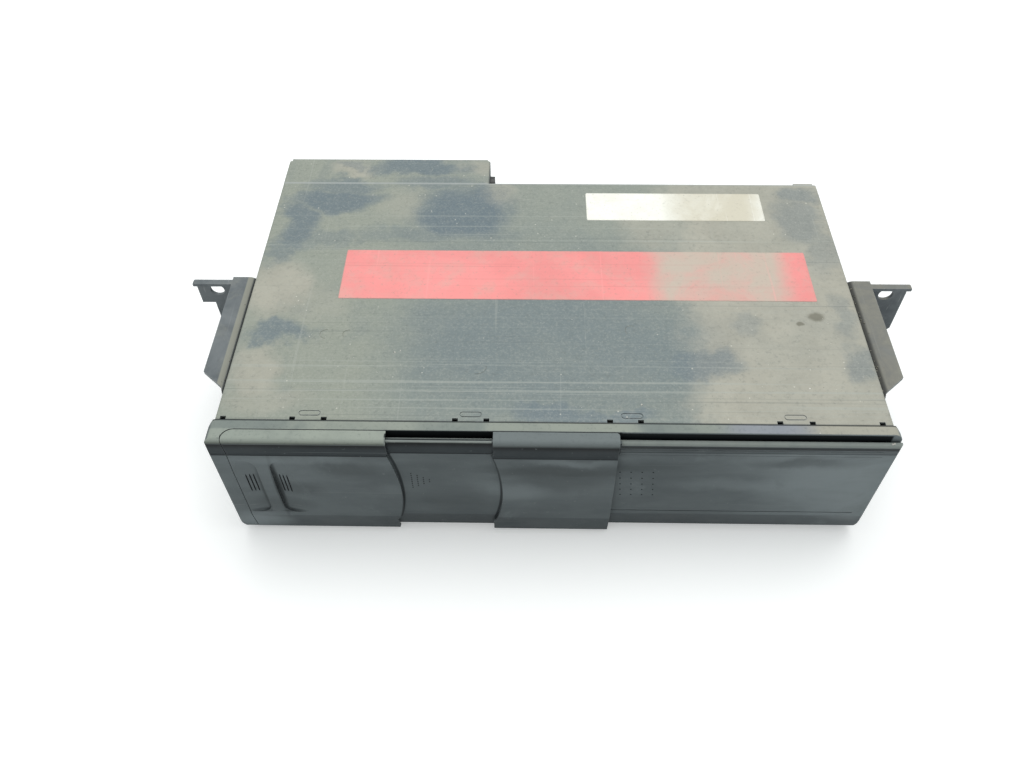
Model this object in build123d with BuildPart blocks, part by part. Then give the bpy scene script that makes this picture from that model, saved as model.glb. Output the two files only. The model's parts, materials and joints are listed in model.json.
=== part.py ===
from build123d import *
import os
from math import acos, cos, degrees, pi, radians, sin, sqrt, tan

# Car disc changer: sheet-metal case, moulded front with a two-part sliding door, and inside
# a six-tray magazine beside a lifting playing deck.
# X is to the right seen from the front, Y is to the back, Z is up.
# The origin is under the middle of the case, on the face it rests on. Millimetres.

os.makedirs("parts", exist_ok=True)

# ---------------------------------------------------------------- driving dimensions
case_width = 255.0
case_height = 66.0
seam_y = -75.25            # front edge of the top cover, where the moulded front begins
cover_back_y = 66.75
rear_back_y = 85.25
sheet = 1.0                # thickness of the cover sheet
gap = 0.3                  # running clearance between moving bodies
half_width = case_width / 2
bezel_half_width = 129.4    # the moulded front is a little wider than the case
cover_half = half_width - 0.5

# moulded front: distances forward of the seam, and heights
door_reach = 10.0          # front of the doors, forward of the seam
ledge_depth = 4.4          # flat strip between the seam and the door lips
lip_corner_radius = 4.3
crease_z = 56.8            # foot of the upper band
band_undercut = 0.8
belly_z = 36.0
low_crease_z = 13.4        # where the lower band begins
front_bottom_z = 0.8
outer_wall = 1.1           # skin of the outer door
inner_set_back = 1.4       # the inner door runs this far behind the outer one
inner_wall = 1.0
panel_set_back = 2.7       # the fixed panel runs behind both
ridge_drop = 3.2           # the panel's top ridge is this far under the lips
ridge_back = 5.2           # back of that ridge, forward of the seam
slot_depth = 5.0
foot_length = 4.0          # the doors' feet reach this far under the front

# positions along X on the front
outer_left = -122.8
outer_right = -61.8
grip_left = -21.9
grip_right = 24.9
hidden_left = -63.9        # left end of the inner door, under the outer one
edge_bow = 3.5             # how far the curved door edges bow to the right
groove_end = 124.0
scoop_edges = [(-126.0, -113.4), (-98.0, -108.2)]   # shallow and deep end of each scoop

# finger scoops in the outer door
scoop_bottom_z = 16.0
scoop_height = 36.0
scoop_depth = 1.4
scoop_skin = 0.5
scoop_corner = 5.0

# magazine
magazine_left = -120.0
magazine_right = 13.0
magazine_half_depth = 63.5
magazine_bottom_z = 19.5
magazine_top_z = 56.5
magazine_wall = 1.5
tray_count = 6
tray_pitch = 5.8
tray_thickness = 1.5
tray_left = -117.0
tray_right = 5.0
tray_half_depth = 61.2
first_tray_z = 21.8
tray_travel = 110.0

# playing deck
disc_radius = 60.0
spindle_x = 54.0
disc_rest_x = spindle_x - tray_travel
deck_z = 11.0
deck_sheet = 1.2
deck_left = 18.2
deck_right = 122.0
deck_half_depth = 59.5
disc_plane_z = 16.0
lift_height = 34.0
lift_stroke = 22.0
lift_plate_y = 62.8        # middle of each lift plate
lift_plate_sheet = 1.2
lift_pin_radius = 1.5
lift_pin_x = [44.0, 96.0]
frame_wall_y = 64.6        # middle of each frame wall
frame_sheet = 1.2
tooth_module = 0.8
pressure_angle = radians(20)
backlash = 0.16


# ---------------------------------------------------------------- shared helpers
def block(x_span, y_span, z_span, mode=Mode.ADD):
    """Box that fills these three spans, in the part being built."""
    spans = (x_span, y_span, z_span)
    length, depth, height = [high - low for low, high in spans]
    with Locations(tuple((low + high) / 2 for low, high in spans)):
        Box(length, depth, height, mode=mode)


def around(middle, size):
    """Span of this size about its middle."""
    return (middle - size / 2, middle + size / 2)


def along_x(x, y, z):
    """Place for a cylinder whose axis runs along X."""
    return Location((x, y, z), (0, 90, 0))


def along_y(x, y, z):
    """Place for a cylinder whose axis runs along Y."""
    return Location((x, y, z), (90, 0, 0))


# ---------------------------------------------------------------- shared outlines
def front_y(reach):
    """Y of a point that stands this far forward of the seam."""
    return seam_y - reach


def save(piece, label):
    """Label a finished piece and write it."""
    piece.label = label
    export_step(piece, f"parts/{label}.step")


def face_points(reach, end_drop, end_z):
    """Front face from the crease down to a given height, for a skin at this reach."""
    return [
        (front_y(reach - band_undercut), crease_z),
        (front_y(reach - 0.05), belly_z),
        (front_y(reach - 0.25), low_crease_z),
        (front_y(reach - end_drop), end_z),
    ]


def door_section(wall, foot_z, foot_wall):
    """Section of a full door: a lip over the top, the face and a foot under the front."""
    top = case_height
    lip_end = front_y(ledge_depth + gap)
    foot_end = front_y(door_reach - foot_length)
    outer = [(lip_end, top), (front_y(door_reach), top)]
    outer += face_points(door_reach, 1.7, foot_z + 0.8)
    outer += [(foot_end, foot_z)]
    reach = door_reach - wall
    inner = [(lip_end, top - outer_wall), (front_y(reach), top - outer_wall)]
    inner += face_points(reach, 1.7, foot_z + foot_wall + 0.8)
    inner += [(foot_end, foot_z + foot_wall)]
    with BuildSketch() as section:
        with BuildLine():
            FilletPolyline(*outer, radius=[1.8, 0.4, 60, 1.0, 1.8])
            Line(outer[-1], inner[-1])
            FilletPolyline(*inner, radius=[1.0, 0.4, 60, 1.0, 1.0])
            Line(inner[0], outer[0])
        make_face()
    return section.sketch


def plate_section(reach, wall, top_z, end_drop, end_z):
    """Section of a plain curved plate with its front at this reach."""
    outer = [(front_y(reach - 0.1), top_z)] + face_points(reach, end_drop, end_z)
    inner = [(front_y(reach - wall - 0.1), top_z)] + face_points(reach - wall, end_drop, end_z)
    with BuildSketch() as section:
        with BuildLine():
            FilletPolyline(*outer, radius=[0.4, 60, 1.0])
            Line(outer[-1], inner[-1])
            FilletPolyline(*inner, radius=[0.4, 60, 1.0])
            Line(inner[0], outer[0])
        make_face()
    return section.sketch


def bowed_outline(x_straight, x_far):
    """Outline seen from the front between a bowed edge and a straight one, from lip to foot."""
    bow = [
        (x_straight - 0.6, crease_z - 0.3),
        (x_straight + 1.2, crease_z - 8.5),
        (x_straight + edge_bow - 0.6, crease_z - 20),
        (x_straight + edge_bow - 0.5, crease_z - 31),
        (x_straight + 1.2, crease_z - 42),
        (x_straight - 0.8, crease_z - 47),
    ]
    with BuildSketch() as outline:
        with BuildLine():
            Spline(*bow)
            Polyline(
                bow[-1],
                (bow[-1][0], -1),
                (x_far, -1),
                (x_far, case_height + 1),
                (x_straight, case_height + 1),
                (x_straight, crease_z),
                bow[0],
            )
        make_face()
    return outline.sketch


def scoop_wedge(x_shallow, x_deep):
    """Tool that cuts a wedge-shaped finger scoop."""
    with BuildPart() as wedge:
        with BuildSketch(Plane.XY.offset(scoop_bottom_z)):
            with BuildLine():
                Polyline(
                    (x_shallow, front_y(door_reach + 0.5)),
                    (x_shallow, front_y(door_reach)),
                    (x_deep, front_y(door_reach - scoop_depth)),
                    (x_deep, front_y(door_reach + 0.5)),
                    close=True,
                )
            make_face()
        extrude(amount=scoop_height)
        corners = wedge.edges().filter_by(Axis.Y, tolerance=1).sort_by(Axis.X)
        deep_side = corners[:2] if x_deep < x_shallow else corners[-2:]
        fillet(deep_side, radius=scoop_corner)
    return wedge.part


def lip_corner(x, inward, radius):
    """Tool that rounds a door lip's back corner; inward is +1 or -1 along X."""
    back = front_y(ledge_depth + gap)
    with BuildPart() as corner:
        with BuildSketch(Plane.XY.offset(case_height - 2)):
            with Locations((x + inward * radius / 2, back - radius / 2)):
                Rectangle(radius, radius)
            with Locations((x + inward * radius, back - radius)):
                Circle(radius, mode=Mode.SUBTRACT)
        extrude(amount=3)
    return corner.part


def tooth_flank(pitch_radius, base_radius, radius, half_tooth):
    """Angle from the tooth's middle to its flank at this radius, on an involute."""
    def involute(at_radius):
        angle = acos(min(1.0, base_radius / at_radius))
        return tan(angle) - angle
    return half_tooth + involute(pitch_radius) - involute(radius)


def wheel_face(teeth, turn):
    """Face of a spur wheel, one tooth pointing at this angle in degrees."""
    pitch_radius = tooth_module * teeth / 2
    base_radius = pitch_radius * cos(pressure_angle)
    root_radius = pitch_radius - 1.2 * tooth_module
    tip_radius = pitch_radius + 0.9 * tooth_module
    half_tooth = pi / (2 * teeth) - backlash / 2 / pitch_radius
    start = max(base_radius, root_radius)
    radii = [start + (tip_radius - start) * step / 3 for step in range(4)]
    points = []
    for tooth in range(teeth):
        middle = radians(turn) + 2 * pi * tooth / teeth
        rise = [(r, middle - tooth_flank(pitch_radius, base_radius, r, half_tooth)) for r in radii]
        fall = [(r, middle + tooth_flank(pitch_radius, base_radius, r, half_tooth)) for r in radii]
        root_in = (root_radius, rise[0][1])
        root_out = (root_radius, fall[0][1])
        for radius, angle in [root_in] + rise + fall[::-1] + [root_out]:
            points.append((radius * cos(angle), radius * sin(angle)))
    with BuildSketch() as face:
        Polygon(*points, align=None)
    return face.sketch


def rack_face(x_gap, count, pitch_line, back_line):
    """Face of a rack with its teeth pointing down and a tooth gap centred on x_gap."""
    pitch = pi * tooth_module
    half_tooth = pitch / 4 - backlash / 2
    tip = 0.9 * tooth_module
    root = 1.2 * tooth_module
    slope = tan(pressure_angle)
    left = x_gap - pitch * (count - 1)
    points = [(left - pitch / 2, back_line)]
    for tooth in range(count):
        middle = left + pitch * tooth - pitch / 2
        points.append((middle - half_tooth - root * slope, pitch_line + root))
        points.append((middle - half_tooth + tip * slope, pitch_line - tip))
        points.append((middle + half_tooth - tip * slope, pitch_line - tip))
        points.append((middle + half_tooth + root * slope, pitch_line + root))
    points.append((x_gap + pitch, pitch_line + root))
    points.append((x_gap + pitch, back_line))
    with BuildSketch() as face:
        Polygon(*points, align=None)
    return face.sketch


# ---------------------------------------------------------------- moulded front
panel_reach = door_reach - panel_set_back
panel_foot_z = 2.2
bezel_wall = 2.2
flare_reach = 3.5          # the ends widen over this distance forward of the seam
plan_corner = 1.5
top_corner = 3.6
bottom_corner = 6.5
end_wall = 4.0
mouth_left = -121.6
mouth_right = 14.6
mouth_bottom_z = 8.0
mouth_top_z = 58.0
cap_right = outer_left - gap
groove_heights = [58.3, 54.9, 16.0]

panel_outline = [
    (front_y(0), case_height),
    (front_y(ledge_depth), case_height),
    (front_y(ledge_depth), case_height - slot_depth),
    (front_y(ridge_back), case_height - slot_depth),
    (front_y(ridge_back), case_height - ridge_drop),
    (front_y(panel_reach), case_height - ridge_drop),
]
panel_outline += face_points(panel_reach, 1.7, panel_foot_z + 0.8)
panel_outline += [
    (front_y(foot_length), panel_foot_z),
    (front_y(0), panel_foot_z),
    (front_y(0), panel_foot_z + bezel_wall),
    (front_y(foot_length), panel_foot_z + bezel_wall),
    (front_y(panel_reach - bezel_wall - 0.3), low_crease_z),
    (front_y(panel_reach - bezel_wall - 0.8), case_height - slot_depth - bezel_wall),
    (front_y(0), case_height - slot_depth - bezel_wall),
]
panel_radii = [0, 0.3, 0, 0, 0.5, 0.9, 0.4, 60, 1.0, 1.2, 0.4, 0, 0, 0.4, 0.4, 0.4, 0]

cap_outline = [(front_y(0), case_height), (front_y(door_reach), case_height)]
cap_outline += face_points(door_reach, 1.7, front_bottom_z + 0.8)
cap_outline += [(front_y(foot_length), front_bottom_z), (front_y(0), front_bottom_z)]

with BuildPart() as front_bezel:
    # long section: ledge, slot, ridge and fixed panel
    with BuildSketch(Plane.YZ.offset(cap_right - 1)):
        with BuildLine():
            FilletPolyline(*panel_outline, radius=panel_radii, close=True)
        make_face()
    extrude(amount=bezel_half_width - cap_right + 1)
    # right end wall
    with BuildSketch(Plane.YZ.offset(bezel_half_width - end_wall)):
        with BuildLine():
            Polyline(
                (front_y(0), case_height - slot_depth - 1),
                (front_y(panel_reach - bezel_wall), case_height - slot_depth - 1),
                (front_y(foot_length), panel_foot_z + 1),
                (front_y(0), panel_foot_z + 1),
                close=True,
            )
        make_face()
    extrude(amount=end_wall)
    # left end cap, level with the outer door
    with BuildSketch(Plane.YZ.offset(-bezel_half_width)):
        with BuildLine():
            FilletPolyline(*cap_outline, radius=[0, 1.8, 0.4, 60, 1.0, 1.8, 0, 0], close=True)
        make_face()
    extrude(amount=cap_right + bezel_half_width)
    # the ledge's corner runs round the outer door's lip
    with BuildSketch(Plane.XY.offset(case_height - outer_wall)):
        corner_x = cap_right + lip_corner_radius
        corner_y = front_y(ledge_depth + lip_corner_radius)
        with BuildLine():
            RadiusArc(
                (cap_right, corner_y),
                (corner_x, front_y(ledge_depth)),
                lip_corner_radius,
            )
            Polyline(
                (corner_x, front_y(ledge_depth)),
                (corner_x, front_y(ledge_depth - 1)),
                (cap_right - 1, front_y(ledge_depth - 1)),
                (cap_right - 1, corner_y),
                (cap_right, corner_y),
            )
        make_face()
    extrude(amount=outer_wall)
    # rounded outline from above and from the front
    with BuildSketch(Plane.XY):
        with BuildLine():
            FilletPolyline(
                (-half_width, front_y(0)),
                (-bezel_half_width, front_y(flare_reach)),
                (-bezel_half_width, front_y(door_reach)),
                (cap_right, front_y(door_reach)),
                (cap_right, front_y(panel_reach)),
                (bezel_half_width, front_y(panel_reach)),
                (bezel_half_width, front_y(flare_reach)),
                (half_width, front_y(0)),
                radius=[0, plan_corner, plan_corner, 0, 0, plan_corner, plan_corner, 0],
                close=True,
            )
        make_face()
    extrude(amount=case_height, mode=Mode.INTERSECT)
    with BuildSketch(Plane.XZ.offset(-seam_y)):
        with BuildLine():
            FilletPolyline(
                (-bezel_half_width, case_height),
                (bezel_half_width, case_height),
                (bezel_half_width, 0),
                (-bezel_half_width, 0),
                radius=[top_corner, top_corner, bottom_corner, bottom_corner],
                close=True,
            )
        make_face()
    extrude(amount=door_reach + 1, mode=Mode.INTERSECT)
    # mouth for the magazine
    block(
        (mouth_left, mouth_right),
        (front_y(door_reach + 1), front_y(0)),
        (mouth_bottom_z, mouth_top_z),
        mode=Mode.SUBTRACT,
    )
    # grooves along the fixed panel
    for groove_z in groove_heights:
        block(
            (mouth_right + 2, groove_end),
            around(front_y(panel_reach - 0.3), 1.0),
            around(groove_z, 0.5),
            mode=Mode.SUBTRACT,
        )
    add(scoop_wedge(*scoop_edges[0]), mode=Mode.SUBTRACT)
save(front_bezel.part, "front_bezel")

# ---------------------------------------------------------------- sliding doors
skin_front = front_y(door_reach - outer_wall + 0.1)
pad_back = front_y(door_reach - scoop_depth - scoop_skin)
pad_right = -102.7         # right end of the thickening behind the scoops
with BuildPart() as outer_door:
    with BuildSketch(Plane.YZ.offset(outer_left)):
        add(door_section(outer_wall, front_bottom_z, outer_wall))
    extrude(amount=outer_right + edge_bow - outer_left)
    # thicker behind the finger scoops
    with BuildSketch(Plane.XY.offset(scoop_bottom_z - 1)):
        with BuildLine():
            Polyline(
                (outer_left + 0.4, skin_front),
                (pad_right, skin_front),
                (pad_right - 1.8, pad_back),
                (outer_left + 0.4, pad_back),
                close=True,
            )
        make_face()
    extrude(amount=scoop_height + 2)
    with BuildSketch(Plane.XZ.offset(-seam_y)):
        add(bowed_outline(outer_right, outer_left))
    extrude(amount=door_reach + 1, mode=Mode.INTERSECT)
    add(lip_corner(outer_left, 1, lip_corner_radius), mode=Mode.SUBTRACT)
    for shallow_x, deep_x in scoop_edges:
        add(scoop_wedge(shallow_x, deep_x), mode=Mode.SUBTRACT)
save(outer_door.part, "outer_door")

inner_reach = door_reach - inner_set_back
grip_wall = door_reach - panel_reach - gap
with BuildPart() as inner_door:
    # raised grip, level with the outer door
    with BuildSketch(Plane.YZ.offset(grip_left - 1)):
        add(door_section(grip_wall, front_bottom_z, outer_wall))
    extrude(amount=grip_right - grip_left + 1)
    with BuildSketch(Plane.XZ.offset(-seam_y)):
        add(bowed_outline(grip_left, grip_right))
    extrude(amount=door_reach + 1, mode=Mode.INTERSECT)
    add(lip_corner(grip_right, -1, 1.2), mode=Mode.SUBTRACT)
    # low left part that the outer door slides over
    with BuildSketch(Plane.YZ.offset(hidden_left)):
        add(plate_section(inner_reach, inner_wall, case_height - inner_set_back, 1.6, 4.0))
    extrude(amount=grip_left + 6 - hidden_left)
save(inner_door.part, "inner_door")

# ---------------------------------------------------------------- outer case
cover_foot_z = 2.0
notch_x = [-123.8, -97.6, -85.7, -36.4, -24.6, 21.6, 33.1, 84.8, 96.8, 122.6]
boss_x = [-91.4, -30.6, 30.0, 90.9]
boss_y = seam_y + 3.3
dial_y = 38.0
dial_z = 33.0
dial_radius = 12.0
side_screws = [(-62.0, 8.0), (52.0, 8.0)]
bracket_screws = [(-45.0, 34.0), (-8.0, 34.0)]
tab_x = 120.5
side_screw_radius = 1.6    # radius of the holes for the side screws
cover_corner = 1.4
boss_length = 8.4
boss_width = 2.6
boss_line = 0.8            # width of the groove that outlines a boss
through = 6.0              # length of a cutter that passes through one sheet

with BuildPart() as top_cover:
    with BuildSketch(Plane.XZ.offset(-seam_y)):
        with BuildLine():
            FilletPolyline(
                (-cover_half, cover_foot_z),
                (-cover_half, case_height),
                (cover_half, case_height),
                (cover_half, cover_foot_z),
                radius=cover_corner,
            )
            Polyline((cover_half, cover_foot_z), (cover_half - sheet, cover_foot_z))
            FilletPolyline(
                (cover_half - sheet, cover_foot_z),
                (cover_half - sheet, case_height - sheet),
                (-cover_half + sheet, case_height - sheet),
                (-cover_half + sheet, cover_foot_z),
                radius=cover_corner - 0.9,
            )
            Line((-cover_half + sheet, cover_foot_z), (-cover_half, cover_foot_z))
        make_face()
    extrude(amount=seam_y - cover_back_y)
    # notches for the front's hooks and small pressed bosses behind them
    for x in notch_x:
        block(around(x, 2.2), around(seam_y, 3.0), around(case_height, 4.0), mode=Mode.SUBTRACT)
    for x in boss_x:
        with BuildSketch(Plane.XY.offset(case_height)):
            with Locations((x, boss_y)):
                SlotOverall(boss_length, boss_width)
                SlotOverall(boss_length - boss_line, boss_width - boss_line, mode=Mode.SUBTRACT)
        extrude(amount=-0.3, mode=Mode.SUBTRACT)
    # holes for the side dials and the side screws
    for side in (-1, 1):
        with Locations(along_x(side * cover_half, dial_y, dial_z)):
            Cylinder(dial_radius + gap, through, mode=Mode.SUBTRACT)
        for y, z in side_screws + bracket_screws:
            with Locations(along_x(side * cover_half, y, z)):
                Cylinder(side_screw_radius, through, mode=Mode.SUBTRACT)
    # small tab at the right rear corner
    block(around(tab_x, 9.0), (cover_back_y, cover_back_y + 1.0), (case_height - sheet, case_height))
save(top_cover.part, "top_cover")

floor_sheet = 1.2
rim_height = 14.0
chassis_half = cover_half - sheet - gap
rear_wall_y = cover_back_y - 1.55      # front face of the rear wall
rear_wall_sheet = 1.2
rear_wall_top_z = 64.4
chassis_front_y = seam_y + gap
chassis_back_y = cover_back_y - 0.35
rim_sheet = 1.2
post_radius = 3.0
screw_spots = [(-104.0, -58.0), (106.0, -70.0), (4.0, 52.0)]
transport_screw_radius = 2.0
board_posts = [(-112.0, -48.0), (-10.0, -48.0), (-112.0, 50.0), (-14.0, 40.0)]
board_z = 6.0

with BuildPart() as bottom_chassis:
    full_width = around(0, 2 * chassis_half)
    block(full_width, (chassis_front_y, chassis_back_y), (0, floor_sheet))
    block(full_width, (rear_wall_y, rear_wall_y + rear_wall_sheet), (0, rear_wall_top_z))
    for side in (-1, 1):
        rim_x = side * (chassis_half - rim_sheet / 2)
        block(around(rim_x, rim_sheet), (seam_y + 0.35, chassis_back_y), (0, rim_height))
        for y, z in side_screws:
            with Locations(along_x(side * chassis_half, y, z)):
                Cylinder(side_screw_radius - 0.2, through, mode=Mode.SUBTRACT)
    for x, y in board_posts:
        with Locations((x, y, (floor_sheet + board_z) / 2)):
            Cylinder(post_radius, board_z - floor_sheet)
    # holes for the transport screws, and one for the wiring in the rear wall
    with Locations(*[(x, y, 0) for x, y in screw_spots]):
        Cylinder(transport_screw_radius + 0.1, through, mode=Mode.SUBTRACT)
    block((-105, -55), around(rear_wall_y, through), (6, 18), mode=Mode.SUBTRACT)
save(bottom_chassis.part, "bottom_chassis")

rear_left = -cover_half
rear_right = -28.3
rear_bottom_z = 8.0
socket_y = cover_back_y + 8.75
socket_z = case_height - 8.0
socket_outer = 4.4
socket_bore = 3.2
socket_proud = 2.4         # the socket stands this far out of the box
socket_length = 12.0
socket_depth = 8.6
socket_block = 12.0
with BuildPart() as rear_box:
    block((rear_left, rear_right), (cover_back_y, rear_back_y), (rear_bottom_z, case_height))
    fillet(rear_box.edges().group_by(Axis.Z)[-1].filter_by(Axis.Y), radius=1.2)
    block(
        (rear_left + sheet, rear_right - sheet),
        (cover_back_y, rear_back_y - sheet),
        (rear_bottom_z + sheet, case_height - sheet),
        mode=Mode.SUBTRACT,
    )
    # the top flange is stepped at both ends
    for x, step_length, step_depth in ((rear_left, 3.0, 3.0), (rear_right, 2.4, 1.6)):
        with Locations((x, rear_back_y, case_height)):
            Box(step_length, step_depth, 3.0, mode=Mode.SUBTRACT)
    with Locations(along_x(rear_right, socket_y, socket_z)):
        Cylinder(socket_outer + 0.1, through, mode=Mode.SUBTRACT)
save(rear_box.part, "rear_box")

with BuildPart() as connector_socket:
    with Locations(along_x(rear_right + socket_proud - socket_length / 2, socket_y, socket_z)):
        Cylinder(socket_outer, socket_length)
    block(
        (rear_right - sheet - 6.4, rear_right - sheet),
        around(socket_y, socket_block),
        around(socket_z, socket_block),
    )
    with Locations(along_x(rear_right + socket_proud - socket_depth / 2, socket_y, socket_z)):
        Cylinder(socket_bore, socket_depth, mode=Mode.SUBTRACT)
save(connector_socket.part, "connector_socket")

# ---------------------------------------------------------------- mounting brackets
bracket_sheet = 1.5
flange_z = case_height - 4.0
flange_edge = 138.5
ear_edge = 155.5
bracket_front_y = seam_y + 16.2
flange_front_y = seam_y + 26.4
ear_back_y = seam_y + 81.0
ear_front_y = ear_back_y - bracket_sheet
bracket_foot_z = 22.0
bend_radius = 4.5
ear_bend = 3.0
ear_hole_x = 147.0
ear_hole_z = case_height - 10.6
ear_hole_radius = 3.1
ear_root_y = ear_back_y - 4.6          # where the ear leaves the flange
ear_slot_z = flange_z - 14.2           # top of the left ear's open slot


def bracket_body(side):
    """One side bracket: plate on the case, flange outward, and an ear at the back."""
    inner_bend = bend_radius - bracket_sheet
    plate_x = cover_half
    with BuildPart() as bracket:
        with BuildSketch(Plane.XZ.offset(-ear_back_y)):
            with BuildLine():
                FilletPolyline(
                    (plate_x, bracket_foot_z),
                    (plate_x, flange_z),
                    (flange_edge, flange_z),
                    radius=bend_radius,
                )
                Line((flange_edge, flange_z), (flange_edge, flange_z - bracket_sheet))
                FilletPolyline(
                    (flange_edge, flange_z - bracket_sheet),
                    (plate_x + bracket_sheet, flange_z - bracket_sheet),
                    (plate_x + bracket_sheet, bracket_foot_z),
                    radius=inner_bend,
                )
                Line((plate_x + bracket_sheet, bracket_foot_z), (plate_x, bracket_foot_z))
            make_face()
        extrude(amount=ear_back_y - bracket_front_y)
        # front end of the flange is cut at a slant
        with BuildSketch(Plane.XY.offset(flange_z - 12)):
            with BuildLine():
                Polyline(
                    (flange_edge + 1, flange_front_y + 1.2),
                    (plate_x + 3, bracket_front_y + 3.0),
                    (plate_x + 1.6, bracket_front_y - 1),
                    (flange_edge + 1, bracket_front_y - 1),
                    close=True,
                )
            make_face()
        extrude(amount=14, mode=Mode.SUBTRACT)
        # ear: strip bent down from the flange
        with BuildSketch(Plane.YZ.offset(plate_x + bend_radius)):
            with BuildLine():
                FilletPolyline(
                    (ear_root_y, flange_z),
                    (ear_back_y, flange_z),
                    (ear_back_y, bracket_foot_z),
                    radius=ear_bend,
                )
                Line((ear_back_y, bracket_foot_z), (ear_front_y, bracket_foot_z))
                FilletPolyline(
                    (ear_front_y, bracket_foot_z),
                    (ear_front_y, flange_z - bracket_sheet),
                    (ear_root_y, flange_z - bracket_sheet),
                    radius=ear_bend - bracket_sheet,
                )
                Line((ear_root_y, flange_z - bracket_sheet), (ear_root_y, flange_z))
            make_face()
        extrude(amount=ear_edge - plate_x - bend_radius)
        with BuildSketch(Plane.XZ.offset(-ear_back_y)):
            with Locations(((plate_x + flange_edge) / 2, (bracket_foot_z + flange_z - 6) / 2)):
                Rectangle(flange_edge - plate_x, flange_z - 6 - bracket_foot_z)
        extrude(amount=bracket_sheet)
        with BuildSketch(Plane.XZ.offset(-ear_back_y - 1)):
            if side < 0:
                with Locations((ear_edge, (bracket_foot_z + ear_slot_z) / 2 - 1)):
                    Rectangle(11.4, ear_slot_z - bracket_foot_z + 2)
                with Locations((flange_edge + 18, bracket_foot_z)):
                    Rectangle(18, 12)
            else:
                with BuildLine():
                    Polyline(
                        (ear_edge + 1, bracket_foot_z + 14),
                        (ear_edge - 10, bracket_foot_z - 1),
                        (ear_edge + 1, bracket_foot_z - 1),
                        close=True,
                    )
                make_face()
        extrude(amount=bracket_sheet + 3, mode=Mode.SUBTRACT)
        with Locations(along_y(ear_hole_x, ear_back_y, ear_hole_z)):
            Cylinder(ear_hole_radius, through, mode=Mode.SUBTRACT)
        # rounded outer corner at the back of the plate
        corner = bracket.edges().filter_by(Axis.X).filter_by_position(
            Axis.Z, bracket_foot_z - 0.1, bracket_foot_z + 0.1
        )
        fillet(corner.sort_by(Axis.Y)[0], radius=6)
        for y, z in bracket_screws:
            with Locations(along_x(plate_x, y, z)):
                Cylinder(side_screw_radius, through, mode=Mode.SUBTRACT)
        if side < 0:
            mirror(about=Plane.YZ, mode=Mode.REPLACE)
    return bracket.part


save(bracket_body(-1), "left_bracket")
save(bracket_body(1), "right_bracket")


screw_head = 1.8
screw_head_radius = 3.0


def side_screw_group(spots, head_x):
    """Pan-head screws through the case sides, the same on both sides."""
    shank = head_x - (chassis_half - 3)
    with BuildPart() as screws:
        for side in (-1, 1):
            for y, z in spots:
                with Locations(along_x(side * (head_x + screw_head / 2), y, z)):
                    Cylinder(screw_head_radius, screw_head)
                with Locations(along_x(side * (head_x - shank / 2), y, z)):
                    Cylinder(side_screw_radius - 0.2, shank)
    return screws.part


save(side_screw_group(side_screws, cover_half), "cover_screws")
save(side_screw_group(bracket_screws, cover_half + bracket_sheet), "bracket_screws")

with BuildPart() as transport_screws:
    with Locations(*[(x, y, 4.0) for x, y in screw_spots]):
        Cylinder(transport_screw_radius, 8.0)
save(transport_screws.part, "transport_screws")

# ---------------------------------------------------------------- stickers on the cover
sticker_sheet = 0.12
red_left = -89.4
red_right = 111.4
red_front_y = seam_y + 64.3
red_back_y = seam_y + 94.4
white_left = 17.3
white_right = 98.4
white_front_y = seam_y + 115.6
white_back_y = seam_y + 135.0


def sticker(left, right, front, back, corner):
    """A thin plain label on the top of the cover."""
    with BuildPart() as label:
        with BuildSketch(Plane.XY.offset(case_height)):
            with Locations(((left + right) / 2, (front + back) / 2)):
                RectangleRounded(right - left, back - front, corner)
        extrude(amount=sticker_sheet)
    return label.part


save(sticker(red_left, red_right, red_front_y, red_back_y, 0.6), "red_sticker")
save(sticker(white_left, white_right, white_front_y, white_back_y, 0.8), "white_sticker")

# ---------------------------------------------------------------- side dials
dial_inner_x = cover_half - 3.2
dial_outer_x = cover_half + 0.4
dial_flange = 1.6
dial_ring = dial_radius - 1.4          # a fine groove runs round the dial's face
with BuildPart() as dial:
    with BuildSketch(Plane.YZ.offset(dial_inner_x)):
        with Locations((dial_y, dial_z)):
            Circle(dial_radius)
    extrude(amount=dial_outer_x - dial_inner_x)
    # flange behind the cover, and the slot for a coin
    with BuildSketch(Plane.YZ.offset(dial_inner_x)):
        with Locations((dial_y, dial_z)):
            Circle(dial_radius + dial_flange)
    extrude(amount=dial_flange)
    with BuildSketch(Plane.YZ.offset(dial_outer_x - dial_flange)):
        with Locations((dial_y, dial_z)):
            SlotOverall(18, 2.4, rotation=90)
    extrude(amount=3, mode=Mode.SUBTRACT)
    with BuildSketch(Plane.YZ.offset(dial_outer_x - 0.3)):
        with Locations((dial_y, dial_z)):
            Circle(dial_ring)
            Circle(dial_ring - 0.6, mode=Mode.SUBTRACT)
    extrude(amount=3, mode=Mode.SUBTRACT)
save(dial.part, "right_dial")
with BuildPart() as left_dial:
    add(mirror(dial.part, about=Plane.YZ))
save(left_dial.part, "left_dial")

# ---------------------------------------------------------------- magazine and its shelf
shelf_z = 18.0
shelf_sheet = 1.2
skirt_y = -69.4            # middle of the shelf's front skirt
skirt_foot_z = 9.0
front_leg_x = [-116.0, 4.0]
rear_leg_x = [-60.0, -20.0]
rear_leg_y = 63.8
button_x = -92.0
button_z = 12.6
door_middle_x = -53.0      # middle of the part of the front that the doors cover
magazine_inner = magazine_half_depth - magazine_wall
ledge_width = 2.4
ledge_height = 1.0
finger_radius = 22.0       # half-round cut in the magazine's top
pocket_depth = 0.8
tray_window = 21.0         # half width of the opening in each tray
tray_levels = [first_tray_z + tray_pitch * level for level in range(tray_count)]

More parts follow.
